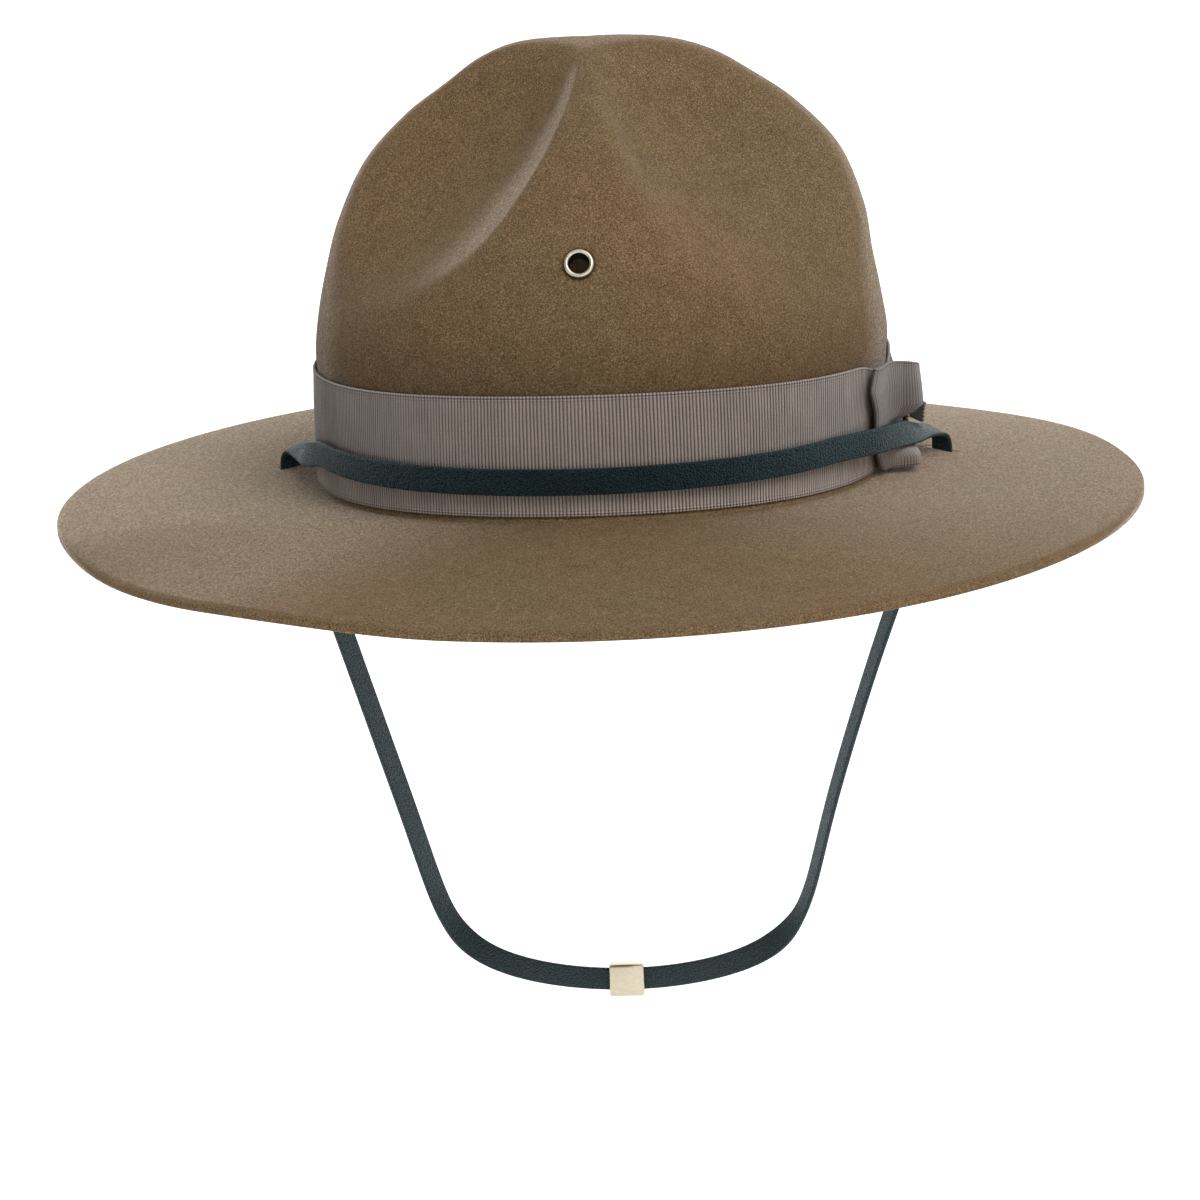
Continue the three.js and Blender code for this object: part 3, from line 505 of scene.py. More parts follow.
def felt_material(name, dim=1.0):
    """Brushed fur felt: short matted hairs, light and dark flecks, and broad soft patches."""
    n = Nodes(name)
    where = n.add("ShaderNodeTexCoord").outputs["Object"]
    tall = n.add("ShaderNodeSeparateXYZ", {0: where}).outputs[2]
    fleck = n.noise(where, FLECK_SCALE, 2.0, 0.6, swirl=0.8)
    hair = n.noise(where, HAIR_SCALE, 2.0, 0.65, stretch=(1.0, 0.7, 1.4), swirl=1.6)
    clump = n.noise(where, CLUMP_SCALE, 3.0, 0.7, stretch=(1.0, 0.5, 1.0), swirl=0.7)
    patch = n.noise(where, PATCH_SCALE, 3.0, 0.6)
    broad = n.noise(where, BROAD_SCALE, 2.0, 0.5)
    mixed = n.math("MULTIPLY_ADD", hair, 0.55, n.math("MULTIPLY", fleck, 0.45))
    tones = [tuple(v * dim for v in tone) for tone in FELT_TONES]
    colour = n.ramp(mixed, list(zip(FELT_STOPS, tones)))
    colour = n.toned(colour, n.greys(patch, (0.3, 0.9), (0.7, 1.1)))
    colour = n.toned(colour, n.ramp(broad, ((0.32, (0.95, 0.99, 0.96)), (0.68, (1.09, 1.0, 0.97)))))
    centre = tuple(float(v) * MM for v in eyelet_place()[0])
    away = n.add("ShaderNodeVectorMath", {0: where, 1: centre}, operation="DISTANCE").outputs["Value"]
    colour = n.toned(colour, n.greys(n.between(away, *EYELET_SHADE), (0.0, 0.3), (1.0, 1.0)))
    shade = ((0.0, (0.62, 0.61, 0.60)), (0.45, (0.86, 0.86, 0.86)), (1.0, (1.0, 1.0, 1.0)))
    shaded = n.toned(colour, n.ramp(n.between(tall, *OUT_OF_SHADE), shade))
    colour = n.blend(n.between(tall, *OFF_BAND), colour, shaded)
    coarse = n.bump(fleck, 0.00035, 0.6)
    fine = n.bump(hair, 0.0003, 0.7, after=coarse)
    facing = n.add("ShaderNodeLayerWeight", {"Blend": 0.5}).outputs["Facing"]
    grazing = n.greys(facing, (0.5, 0.02), (0.64, 0.1), (0.78, 0.86), (1.0, 0.95))
    tufts = n.greys(clump, (0.36, 0.35), (0.5, 0.95), (0.64, 1.7))
    pressed = n.between(tall, *NAP_HEIGHTS, to=(dim, 0.56 * dim))
    nap = n.math("MULTIPLY", n.math("MULTIPLY", grazing, tufts), pressed)
    return n.finish(
        Base_Color=colour,
        Roughness=0.95,
        Specular_IOR_Level=0.15,
        Sheen_Weight=nap,
        Sheen_Roughness=0.3,
        Sheen_Tint=(1.0, 0.87, 0.73, 1.0),
        Normal=fine,
    )


RIB_PITCH = 1.08
RIB_DEPTH = 0.16
BOW_RIB_DEPTH = 0.06
STEPS_PER_RIB = 4
THREAD_PITCH = 0.34

# The looped edge: places across it in millimetres, and how bright each is
EDGE_TONES = (
    (0.0, 0.9), (0.25, 1.35), (0.5, 1.05), (0.62, 0.3), (0.8, 0.34),
    (0.98, 1.2), (1.3, 1.15), (1.5, 0.6), (1.7, 1.0),
)
EDGE_SPAN = 2.0

# Where the ribbon's look changes, in metres: its painted shade in the rib gaps, deeper across the front,
# its shaded end and its painted light along the foot
RIB_GAP_SHADE_ACROSS = (0.0, 0.06)
SHADED_END = (-0.086, -0.045)
FOOT_PAINTED_LIGHT = (0.004, 0.015)


def ribbon_material(name, tint, gap=0.08):
    """Grosgrain: ribs across the ribbon, wound with fine threads, with a looped edge."""
    n = Nodes(name)
    uv = n.add("ShaderNodeUVMap", uv_map="weave").outputs[0]
    split = n.add("ShaderNodeSeparateXYZ", {0: uv})
    place = n.add("ShaderNodeSeparateXYZ", {0: n.add("ShaderNodeTexCoord").outputs["Object"]})
    along = split.outputs[0]
    from_edge = split.outputs[1]
    uneven = n.noise(uv, 0.35, 2.0, 0.5, stretch=(1.0, 0.15, 1.0))
    shifted = n.math("MULTIPLY_ADD", n.math("SUBTRACT", uneven, 0.5), 0.5, along)
    rib = n.math("COSINE", n.math("MULTIPLY", shifted, TURN / RIB_PITCH))
    rib = n.math("MULTIPLY_ADD", rib, 0.5, 0.5)
    thread = n.math("COSINE", n.math("MULTIPLY", from_edge, TURN / THREAD_PITCH))
    thread = n.math("MULTIPLY_ADD", thread, 0.5, 0.5)
    fleck = n.noise(uv, 3.4, 3.0, 0.65, stretch=(1.0, 0.6, 1.0))
    broad = n.noise(uv, 0.11, 2.0, 0.5)
    rib_gap_shade = n.between(place.outputs[0], *RIB_GAP_SHADE_ACROSS)
    # Painted shade in the gaps between ribs, darker still across the front towards one side
    ribs = []
    for low in (mix(gap, 1.0, 0.25), gap):
        steps = ((0.0, low), (0.22, mix(low, 1.0, 0.45)), (0.5, 1.06), (1.0, 1.3))
        ribs.append(n.ramp(rib, [(at, tuple(v * tone for v in tint)) for at, tone in steps]))
    colour = n.blend(rib_gap_shade, *ribs)
    colour = n.toned(colour, n.greys(fleck, (0.32, 0.74), (0.68, 1.22)))
    colour = n.toned(colour, n.ramp(broad, ((0.3, (0.93, 0.93, 0.94)), (0.7, (1.06, 1.06, 1.06)))))
    edge = [(at / EDGE_SPAN, tone) for at, tone in EDGE_TONES]
    colour = n.toned(colour, n.greys(n.math("DIVIDE", from_edge, EDGE_SPAN), *edge))
    # Painted light: the ribbon is made lighter towards its lower edge
    foot = n.between(place.outputs[2], *FOOT_PAINTED_LIGHT)
    colour = n.toned(colour, n.greys(foot, (0.0, 1.65), (1.0, 1.0)))
    end = n.between(place.outputs[0], *SHADED_END)
    colour = n.toned(colour, n.ramp(end, ((0.0, (0.72, 0.73, 0.73)), (1.0, (1.0,) * 3))))
    height = n.math("MULTIPLY_ADD", thread, 0.3, rib)
    return n.finish(
        Base_Color=colour,
        Roughness=0.6,
        Specular_IOR_Level=0.3,
        Sheen_Weight=0.35,
        Sheen_Roughness=0.4,
        Sheen_Tint=(0.94, 0.96, 1.0, 1.0),
        Normal=n.bump(height, 0.00016, 0.8),
    )


# Heights in metres between which the leather turns from its painted light, a grey added where it hangs, to
# its own colour
HANGING_LIGHT_BELOW = (-0.03, -0.01)
HANGING_PAINTED_LIGHT = (0.030, 0.036, 0.032)


def leather_material():
    """Pebbled leather, dark green-black, with painted highlight and shade on its pebbles, and painted light
    that makes it greyer where it hangs.
    """
    n = Nodes("strap_leather")
    where = n.add("ShaderNodeTexCoord").outputs["Object"]
    wobble = n.noise(where, 700.0, 2.0, 0.5)
    shifted = n.add("ShaderNodeVectorMath", {0: where}, operation="ADD")
    offset = n.add("ShaderNodeVectorMath", {0: wobble, "Scale": 0.0006}, operation="SCALE")
    n.put(shifted.inputs[1], offset.outputs[0])
    cells = n.add(
        "ShaderNodeTexVoronoi", {"Vector": shifted.outputs[0], "Scale": PEBBLE_SCALE}, feature="SMOOTH_F1"
    )
    cells.inputs["Smoothness"].default_value = 0.2
    grain = cells.outputs["Distance"]
    patch = n.noise(where, 90.0, 3.0, 0.5)
    glint = n.noise(where, 2600.0, 2.0, 0.6)
    base = n.ramp(patch, ((0.3, (0.0052, 0.0110, 0.0128)), (0.7, (0.0095, 0.0188, 0.0212))))
    # Painted highlight on the pebbles' tops and painted shade in the creases between them
    colour = n.toned(base, n.greys(grain, (0.08, 2.0), (0.5, 0.4)))
    tall = n.add("ShaderNodeSeparateXYZ", {0: where}).outputs[2]
    # Painted light: grey added to the leather where it hangs low
    lit_hanging = n.blend(1.0, colour, HANGING_PAINTED_LIGHT, "ADD")
    colour = n.blend(n.between(tall, *HANGING_LIGHT_BELOW), lit_hanging, colour)
    rough = n.greys(glint, (0.35, 0.3), (0.6, 0.62))
    return n.finish(
        Base_Color=colour,
        Roughness=rough,
        Specular_IOR_Level=0.2,
        Specular_Tint=(0.6, 0.9, 1.0, 1.0),
        Sheen_Weight=0.09,
        Sheen_Roughness=0.5,
        Sheen_Tint=(0.35, 0.72, 0.85, 1.0),
        Normal=n.bump(n.math("SUBTRACT", 1.0, grain), 0.0009, 1.0),
    )


def metal_material(name, colour, rough, metallic=1.0):
    n = Nodes(name)
    where = n.add("ShaderNodeTexCoord").outputs["Object"]
    smear = n.noise(where, 700.0, 3.0, 0.6)
    tone = n.ramp(smear, ((0.3, tuple(v * 0.85 for v in colour)), (0.7, colour)))
    shine = n.greys(smear, (0.3, rough), (0.7, rough + 0.15))
    return n.finish(
        Base_Color=tone,
        Metallic=metallic,
        Specular_IOR_Level=0.5 * metallic,
        Roughness=shine,
        Normal=n.bump(smear, 0.00002, 0.3),
    )


def slot_light_material():
    """Felt where a blade cut it, with its fibres on end, painted paler as light on the slots' walls."""
    n = Nodes("slot_wall_painted_light")
    where = n.add("ShaderNodeTexCoord").outputs["Object"]
    fibre = n.noise(where, CUT_SCALE, 3.0, 0.6, swirl=0.5)
    tone = n.ramp(fibre, ((0.35, (0.52, 0.47, 0.40)), (0.65, (0.92, 0.88, 0.80))))
    raised = n.bump(fibre, 0.0003, 0.5)
    return n.finish(Base_Color=tone, Roughness=0.95, Specular_IOR_Level=0.1, Normal=raised)


FELT = felt_material("felt_brown")
FELT_INSIDE = felt_material("felt_inside", 0.3)
# Painted light: the slots' walls are paler than the felt
SLOT_WALL_LIGHT = slot_light_material()
RIBBON = ribbon_material("grosgrain", (0.209, 0.171, 0.148))
# The bow's ribbon is the band's grosgrain painted darker, as shade, with fainter ribs
SHADED_BOW_RIBBON = ribbon_material("grosgrain_bow_shaded", (0.124, 0.102, 0.089), gap=0.6)
LEATHER = leather_material()
EYELET_METAL = metal_material("eyelet_metal", (0.62, 0.56, 0.45), 0.25)
# Painted shade for the eyelet's bore
EYELET_PAINTED_SHADE = metal_material("eyelet_painted_shade", (0.010, 0.008, 0.006), 0.8, 0.0)
SLIDE_METAL = metal_material("slide_metal", (0.62, 0.55, 0.42), 0.3)


# The felt body

AROUND = 360
CROWN_ROWS = 90
UNDER_BAND_ROWS = 10
FILLET_ROWS = 5
BRIM_ROWS = 30
PINCH_FADE_ROWS = 7
RIM_ROUNDING = 0.55
RIM_SETBACK = 0.7
TOOL_REACH = 8.0


def felt_rows(angle):
    """The outer face from near the crown's top to near the brim's edge, a row of points for each step."""
    rows = []
    top_of_band = band_along(angle, RIBBON_WIDTH)
    foot = band_along(angle, 0.0)
    inward = -BAND_PINCH * outward_at(angle)
    for i in range(1, CROWN_ROWS):
        pinch = max(0.0, 1 - (CROWN_ROWS - i) / PINCH_FADE_ROWS) ** 2
        rows.append(crown_point(angle, mix(1.0, top_of_band, i / CROWN_ROWS)) + pinch * inward)
    for i in range(UNDER_BAND_ROWS + 1):
        rows.append(crown_point(angle, mix(top_of_band, foot, i / UNDER_BAND_ROWS)) + inward)
    wall = crown_point(angle, foot) + inward
    corner = brim_point(angle, 0.0)
    brim = brim_point(angle, CREASE_FILLET)
    for i in range(1, FILLET_ROWS):
        t = i / FILLET_ROWS
        rows.append((1 - t) ** 2 * wall + 2 * t * (1 - t) * corner + t**2 * brim)
    for i in range(BRIM_ROWS + 1):
        rows.append(brim_point(angle, mix(CREASE_FILLET, BRIM_WIDTH - RIM_SETBACK, i / BRIM_ROWS)))
    return np.array(rows)


def grid_normals(grid, wrap_columns):
    """Unit normals of a grid of points, from its neighbours."""
    up = np.gradient(grid, axis=0)
    if wrap_columns:
        side = np.roll(grid, -1, axis=1) - np.roll(grid, 1, axis=1)
    else:
        side = np.gradient(grid, axis=1)
    return unit(np.cross(up, side))


def build_felt():
    angle = np.arange(AROUND) * TURN / AROUND
    outer = felt_rows(angle)
    normals = grid_normals(outer, True)
    inner = outer - FELT_WALL * normals * np.sign(normals[0, 0, 2])
    rim = brim_point(angle, BRIM_WIDTH)
    depths = (RIM_ROUNDING, FELT_WALL / 2, FELT_WALL - RIM_ROUNDING)
    edges = [rim - depth * UP for depth in depths]
    rings = np.concatenate([outer, np.array(edges), inner[::-1]])
    points = rings.reshape(-1, 3)
    count = len(points)
    top = crown_point(np.array(0.0), np.array(1.0))
    points = np.vstack([points, top, top - FELT_WALL * UP])
    faces = grid_faces(len(rings), AROUND, wrap_columns=True)
    last = (len(rings) - 1) * AROUND
    for c in range(AROUND):
        d = (c + 1) % AROUND
        faces.append((count, d, c))
        faces.append((count + 1, last + c, last + d))
    felt = make_object("felt_hat", points, faces, FELT)
    felt.data.materials.append(FELT_INSIDE)
    inside = (len(rings) - CROWN_ROWS - UNDER_BAND_ROWS) * AROUND
    kinds = [1 if min(face) >= inside else 0 for face in faces]
    felt.data.polygons.foreach_set("material_index", kinds)
    return felt


def slot_place(side):
    bearing, out, turn = SLOTS[side]
    centre = brim_point(np.array(math.radians(bearing)), np.array(out))
    crossing = np.array([math.cos(math.radians(turn)), math.sin(math.radians(turn)), 0.0])
    return centre, crossing, np.cross(crossing, UP)


def slot_tool(side):
    """A slot's cutter: a tall body with rounded ends."""
    centre, crossing, lengthways = slot_place(side)
    outline = []
    steps = 8
    radius = SLOT_OPENING / 2
    for end in (1, -1):
        for i in range(steps + 1):
            a = math.pi * (i / steps - 0.5)
            along = end * (SLOT_LENGTH / 2 - radius + radius * math.cos(a))
            outline.append(along * lengthways + end * radius * math.sin(a) * crossing)
    outline = np.array(outline)
    points = np.vstack([centre + outline - TOOL_REACH * UP, centre + outline + TOOL_REACH * UP])
    count = len(outline)
    faces = [tuple(range(count)), tuple(range(2 * count - 1, count - 1, -1))]
    faces += [(i, i + count, (i + 1) % count + count, (i + 1) % count) for i in range(count)]
    return make_object("tool_slot_" + side, points, faces, SLOT_WALL_LIGHT, smooth=False)


def lathe(name, profile, steps, centre, axis, material, closed=True):
    """A body turned about an axis from a profile of (radius, height) pairs."""
    side = unit(np.cross(axis, UP))
    other = np.cross(axis, side)
    rings = []
    for radius, height in profile:
        a = np.arange(steps) * TURN / steps
        flat = times(np.cos(a), side) + times(np.sin(a), other)
        rings.append(centre + radius * flat + height * axis)
    faces = grid_faces(len(rings), steps, wrap_rows=closed, wrap_columns=True)
    if not closed:
        faces.append(tuple(range(steps)))
        faces.append(tuple(range(len(rings) * steps - 1, (len(rings) - 1) * steps - 1, -1)))
    return make_object(name, np.array(rings).reshape(-1, 3), faces, material)


def build_eyelet():
    """A rolled metal eyelet: a rounded flange in front, a barrel through the felt and a flange behind."""
    centre, axis = eyelet_place()
    profile = []
    steps = 14
    half = (EYELET_FLANGE - EYELET_BORE) / 2
    middle = EYELET_BORE + half
    for way, level, rise in ((1, 0.35, 0.95), (-1, 0.8 - EYELET_BACK, -0.75)):
        for i in range(steps + 1):
            a = math.pi * i / steps
            profile.append((middle + way * half * math.cos(a), level + rise * math.sin(a)))
    profile.append((EYELET_FLANGE - 0.3, -EYELET_BACK + 0.95))
    profile.append((EYELET_BARREL, -EYELET_BACK + 1.0))
    profile.append((EYELET_BARREL, 0.25))
    profile.append((EYELET_FLANGE - 0.3, 0.22))
    ring = lathe("eyelet_ring", profile, 64, centre, axis, EYELET_METAL)
    # Painted shade: the bore and the flange behind get a near-black, dull material
    ring.data.materials.append(EYELET_PAINTED_SHADE)
    to_axis = [np.array(face.center) / MM - centre for face in ring.data.polygons]
    depths = [float(away @ axis) for away in to_axis]
    widths = [float(np.linalg.norm(away - depth * axis)) for away, depth in zip(to_axis, depths)]
    dark = [1 if depth < 0.5 or width < EYELET_BORE + 0.2 else 0 for depth, width in zip(depths, widths)]
    ring.data.polygons.foreach_set("material_index", dark)
    return ring


# Ribbon strips

def rib_relief(length_mm):
    return 0.5 + 0.5 * np.cos(length_mm * TURN / RIB_PITCH)


def edge_relief(from_edge):
    """The looped edge: a cord along it and a second, lower one beside that."""
    cord = 0.17 * np.exp(-(((from_edge - 0.4) / 0.24) ** 2))
    return cord + 0.09 * np.exp(-(((from_edge - 1.15) / 0.22) ** 2))


def strip_shares(width, middle_rows):
    """Where the strip's rows lie across it, as shares of its width, close together at its edges."""
    near = np.array([0.0, 0.2, 0.4, 0.62, 0.85, 1.15, 1.45, 1.9]) / width
    middle = np.linspace(near[-1], 1 - near[-1], middle_rows + 2)[1:-1]
    return np.concatenate([near, middle, 1 - near[::-1]])


def ribbon_strip(name, grid, lengths, shares, width, closed=False, ribs=RIB_DEPTH, material=RIBBON):
    """A ribbon from its middle surface: grid[i, j] along and across it, lengths[i] in millimetres."""
    rows, columns = grid.shape[:2]
    normals = np.swapaxes(grid_normals(np.swapaxes(grid, 0, 1), closed), 0, 1)
    rib = rib_relief(lengths)[:, None]
    from_edge = np.minimum(shares, 1 - shares)[None, :] * width
    body = np.clip((from_edge - 0.2) / 0.9, 0, 1)
    loops = edge_relief(from_edge) * (0.55 + 0.45 * rib)
    relief = ribs * (rib - 1) * (0.35 + 0.65 * body) + loops
    half = RIBBON_THICKNESS / 2 - 0.12 - 0.2 * np.exp(-((from_edge / 0.25) ** 2))
    front = grid + times(half + relief, normals)
    back = grid - times(half + relief, normals)
    points = np.concatenate([front.reshape(-1, 3), back.reshape(-1, 3)])
    one = rows * columns
    faces = grid_faces(rows, columns, 0, wrap_rows=closed)
    faces += grid_faces(rows, columns, one, wrap_rows=closed, flip=True)
    for r in range(rows if closed else rows - 1):
        a, b = r * columns, (r + 1) % rows * columns
        c, d = a + columns - 1, b + columns - 1
        faces.append((a, b, one + b, one + a))
        faces.append((c, one + c, one + d, d))
    if not closed:
        end = (rows - 1) * columns
        for k in range(columns - 1):
            faces.append((k, one + k, one + k + 1, k + 1))
            faces.append((end + k, end + k + 1, one + end + k + 1, one + end + k))
    u = np.repeat(lengths, columns)
    v = np.tile(np.minimum(shares, 1 - shares) * width, rows)
    weave = np.column_stack([np.tile(u, 2), np.tile(v, 2)])
    return make_object(name, points, faces, material, weave)


def lengths_along(path):
    """How far along a path each of its points is."""
    return np.concatenate([[0], np.cumsum(np.linalg.norm(np.diff(path, axis=0), axis=1))])


def even_steps(path, closed=False):
    """Shares of a finely sampled path at even distances, a set number to each rib, and their lengths."""
    lengths = lengths_along(path)
    count = round(lengths[-1] / RIB_PITCH) * STEPS_PER_RIB
    wanted = np.arange(count if closed else count + 1) * lengths[-1] / count
    places = np.interp(wanted, lengths, np.linspace(0, 1, len(path)))
    return places, np.arange(len(places)) * RIB_PITCH / STEPS_PER_RIB, lengths[-1]


# How finely a path is sampled, and how many rows of points lie between a strip's two edges
FINE_STEPS = {"band": 1441, "loop": 400}
MIDDLE_ROWS = {"band": 3, "loop": 22, "knot": 5}
LOOP_MEASURED_AT = 0.75


def build_band():
    fine = np.linspace(0, 1, FINE_STEPS["band"])
    path = beside_crown(fine * TURN, 0.5 * RIBBON_WIDTH, FIT_GAP + RIBBON_THICKNESS / 2)
    places, lengths, total = even_steps(path, closed=True)
    shares = strip_shares(RIBBON_WIDTH, MIDDLE_ROWS["band"])
    angle = (places * TURN)[:, None]
    height = shares[None, :] * RIBBON_WIDTH * (1 - wave_drop(BAND_DIP, angle))
    grid = beside_crown(angle, height, FIT_GAP + RIBBON_THICKNESS / 2 - BAND_PINCH)
    return ribbon_strip("ribbon_round", grid, lengths, shares, RIBBON_WIDTH, closed=True), total


def table_at(rows, share):
    """Rows of a table at shares of the way through it, with every column on a smooth curve."""
    rows = np.array(rows)
    last = len(rows) - 1
    place = np.asarray(share) * last
    k = np.minimum(np.floor(place).astype(int), last - 1)
    u = (place - k)[..., None]
    before, start, end, after = (rows[np.clip(k + step, 0, last)] for step in (-1, 0, 1, 2))
    return smooth_between(u, start, (end - before) / 2, end, (after - start) / 2)


def loop_points(side, reach, press_on, share, up):
    """Points of a loop's middle surface, for arrays of shares along it and up it."""
    turn, free, pressed, foot, top = np.moveaxis(table_at(LOOP_SECTIONS, share), -1, 0)
    wander = turn * (1 + np.interp(up, LOOP_HEIGHTS, LOOP_FOLD) * turn**3)
    angle = np.radians(BOW_BEARING + side * reach * LOOP_TURN * wander)
    top = top * (1 - REAR_LOW * turn * (side > 0))
    height = RIBBON_WIDTH * mix(foot, top, up)
    press = press_on * np.interp(up, LOOP_HEIGHTS, LOOP_PRESS)
    stand = mix(free, pressed, press)
    shape = LOOP_SHAPE_REAR if side > 0 else LOOP_SHAPE
    shaped = stand * (1 + (np.interp(up, LOOP_HEIGHTS, shape) - 1) * stand)
    return beside_crown(angle, height, BAND_FACE + LOOP_STAND * shaped)


def build_loop(name, side, reach, press_on):
    fine = np.linspace(0, 1, FINE_STEPS["loop"])
    path = loop_points(side, reach, press_on, fine, np.full(len(fine), LOOP_MEASURED_AT))
    places, lengths, total = even_steps(path)
    shares = strip_shares(RIBBON_WIDTH, MIDDLE_ROWS["loop"])
    share, up = np.meshgrid(places, shares, indexing="ij")
    grid = loop_points(side, reach, press_on, share, up)
    if side > 0:
        grid = grid[::-1]
    strip = ribbon_strip(name, grid, lengths, shares, RIBBON_WIDTH, ribs=BOW_RIB_DEPTH, material=SHADED_BOW_RIBBON)
    return strip, total


def build_knot():
    """The knot: ribbon wrapped round the loops' ends, its ribs across the wrap."""
    low, high = KNOT["foot"] * RIBBON_WIDTH, KNOT["top"] * RIBBON_WIDTH
    back, front = KNOT["back"] * LOOP_STAND, KNOT["front"] * LOOP_STAND
    outline = [(back, low)]
    steps = 6
    for cx, cy, start in ((front, low, 270), (front, high, 0)):
        for i in range(steps + 1):
            a = math.radians(start + 90 * i / steps)
            inward = KNOT_CORNER if cy == low else -KNOT_CORNER
            outline.append((cx + KNOT_CORNER * (math.cos(a) - 1), cy + inward + KNOT_CORNER * math.sin(a)))
    outline.append((back, high))
    outline.append((back, low))
    outline = np.array(outline)
    places, lengths, total = even_steps(outline, closed=True)
    out, up = (np.interp(places, np.linspace(0, 1, len(outline)), outline[:, k]) for k in (0, 1))
    width = math.radians(2 * KNOT_HALF_TURN) * KNOT_RADIUS
    shares = strip_shares(width, MIDDLE_ROWS["knot"])
    angle = np.radians(BOW_BEARING + (2 * shares - 1) * KNOT_HALF_TURN)
    grid = beside_crown(angle[None, :], up[:, None], BAND_FACE + out[:, None])
    wrap = ribbon_strip("bow_wrap", grid[::-1], lengths, shares, width, closed=True)
    spans = np.linalg.norm(np.diff(grid, axis=1), axis=2).sum(axis=1)
    return wrap, float(spans.mean()), total


def build_tail():
    """The tail: a short ribbon end with a zigzag cut."""
    bearing = math.radians(BOW_BEARING + KNOT_HALF_TURN * TAIL["turn"])
    outward = outward_at(np.array(bearing))
    forward = -np.cross(UP, outward)
    start = BAND_FACE + KNOT["front"] * LOOP_STAND + RIBBON_THICKNESS + FIT_GAP
    width = RIBBON_WIDTH * (TAIL["high"] - TAIL["low"])
    count = round(TAIL_LENGTH / RIB_PITCH) * STEPS_PER_RIB
    rows = 2 * TAIL_TEETH * 3 + 1
    shares = np.linspace(0, 1, rows)
    grid = np.empty((count + 1, rows, 3))
    for i in range(count + 1):
        share = i / count
        tooth = TAIL_TOOTH * np.abs(((shares * TAIL_TEETH) % 1.0) * 2 - 1)
        along = TAIL_LENGTH * share - (TAIL_TOOTH - tooth) * share**6
        height = RIBBON_WIDTH * mix(TAIL["low"], TAIL["high"], shares)
        root = beside_crown(np.full(rows, bearing), height, start + TAIL["lean"] * along)
        grid[i] = root + times(along, forward)
    lengths = np.arange(count + 1) * RIB_PITCH / STEPS_PER_RIB
    return ribbon_strip("bow_end", grid, lengths, shares, width)


# The chin strap

def leg_face(crossing, share):
    return mix(crossing, np.array([0.0, 1.0, 0.0]), share)


def slot_way(side):
    centre, crossing, lengthways = slot_place(side)
    outer = lengthways * np.sign(crossing[0])
    stations = []
    for bearing, fall, out, tilt in STRAP_WAYS[side]:
        angle = np.array(math.radians(bearing))
        tilt = math.radians(tilt)
        height = STRAP_HEIGHT["ends"] - STRAP_WIDTH * fall
        face = outward_at(angle) * math.cos(tilt) + UP * math.sin(tilt)
        stations.append((beside_crown(angle, height, STRAP_FACE + STRAP_WIDTH * out), face))
    for turn in (0, 45, 90):
        a = math.radians(turn)
        across = BEND_RADIUS * (math.sin(a) - 1)
        above = BEND_HEIGHT + BEND_RADIUS * (math.cos(a) - 1)
        roll = math.radians(BEND_ROLL) * math.cos(a)
        level = UP * math.cos(roll) + outer * math.sin(roll)
        face = level * math.cos(a) + crossing * math.sin(a)
        stations.append((centre + across * crossing + above * UP, face))
    stations.append((centre - FELT_WALL / 2 * UP, crossing))
    stations.append((centre - (FELT_WALL + LEG_START) * UP, crossing))
    return stations


def leg_stations(side, start):
    sign = 1 if side == "left" else -1
    knee = np.array([sign * LOOP_HALF_WIDTH, LOOP_SETBACK, -LOOP_DROP])
    stations = []
    for share in (0.25, 0.5, 0.75):
        place = mix(start[0], knee, share)
        place[0] -= sign * 4 * share * (1 - share) * LEG_BOW[side]
        stations.append((place, leg_face(start[1], min(1.0, share / LEG_TWISTED) * LEG_TWIST[side])))
    return stations


def strap_stations():
    stations = []
    for share in np.linspace(0, 1, FRONT_STATIONS):
        angle = np.array(math.radians(mix(STRAP_LEAVES["right"], STRAP_LEAVES["left"], share)))
        height = mix(STRAP_HEIGHT["middle"], STRAP_HEIGHT["ends"], (2 * share - 1) ** 2)
        stations.append((beside_crown(angle, height, STRAP_FACE), outward_at(angle)))
    left, right = slot_way("left"), slot_way("right")
    stations += left + leg_stations("left", left[-1])
    for i in range(9):
        a = math.pi * i / 8
        low = -LOOP_DROP - LOOP_SAG * math.sin(a)
        place = np.array([LOOP_HALF_WIDTH * math.cos(a), LOOP_SETBACK, low])
        side, end = ("left", left[-1]) if i < 4 else ("right", right[-1])
        stations.append((place, leg_face(end[1], mix(LEG_TWIST[side], 1, math.sin(a)))))
    stations += leg_stations("right", right[-1])[::-1] + right[::-1]
    return stations


def smooth_loop(points):
    """A closed smooth curve through points, with its first point again at its end."""
    points = np.array(points)
    count = len(points)
    curve = []
    for i in range(count):
        p = [points[(i + k - 1) % count] for k in range(4)]
        dt = [max(np.linalg.norm(p[k + 1] - p[k]) ** 0.5, 1e-4) for k in range(3)]
        t1 = (p[1] - p[0]) / dt[0] - (p[2] - p[0]) / (dt[0] + dt[1]) + (p[2] - p[1]) / dt[1]
        t2 = (p[2] - p[1]) / dt[1] - (p[3] - p[1]) / (dt[1] + dt[2]) + (p[3] - p[2]) / dt[2]
        for j in range(CURVE_STEPS):
            curve.append(smooth_between(j / CURVE_STEPS, p[1], t1 * dt[1], p[2], t2 * dt[1]))
    return np.array(curve + curve[:1])


def soften(rows, reach):
    """A closed list of points or directions, smoothed over a number of its steps."""
    span = int(3 * reach)
    weights = np.exp(-0.5 * (np.arange(-span, span + 1) / reach) ** 2)
    shifts = zip(weights / weights.sum(), range(-span, span + 1))
    return sum(weight * np.roll(rows, shift, axis=0) for weight, shift in shifts)


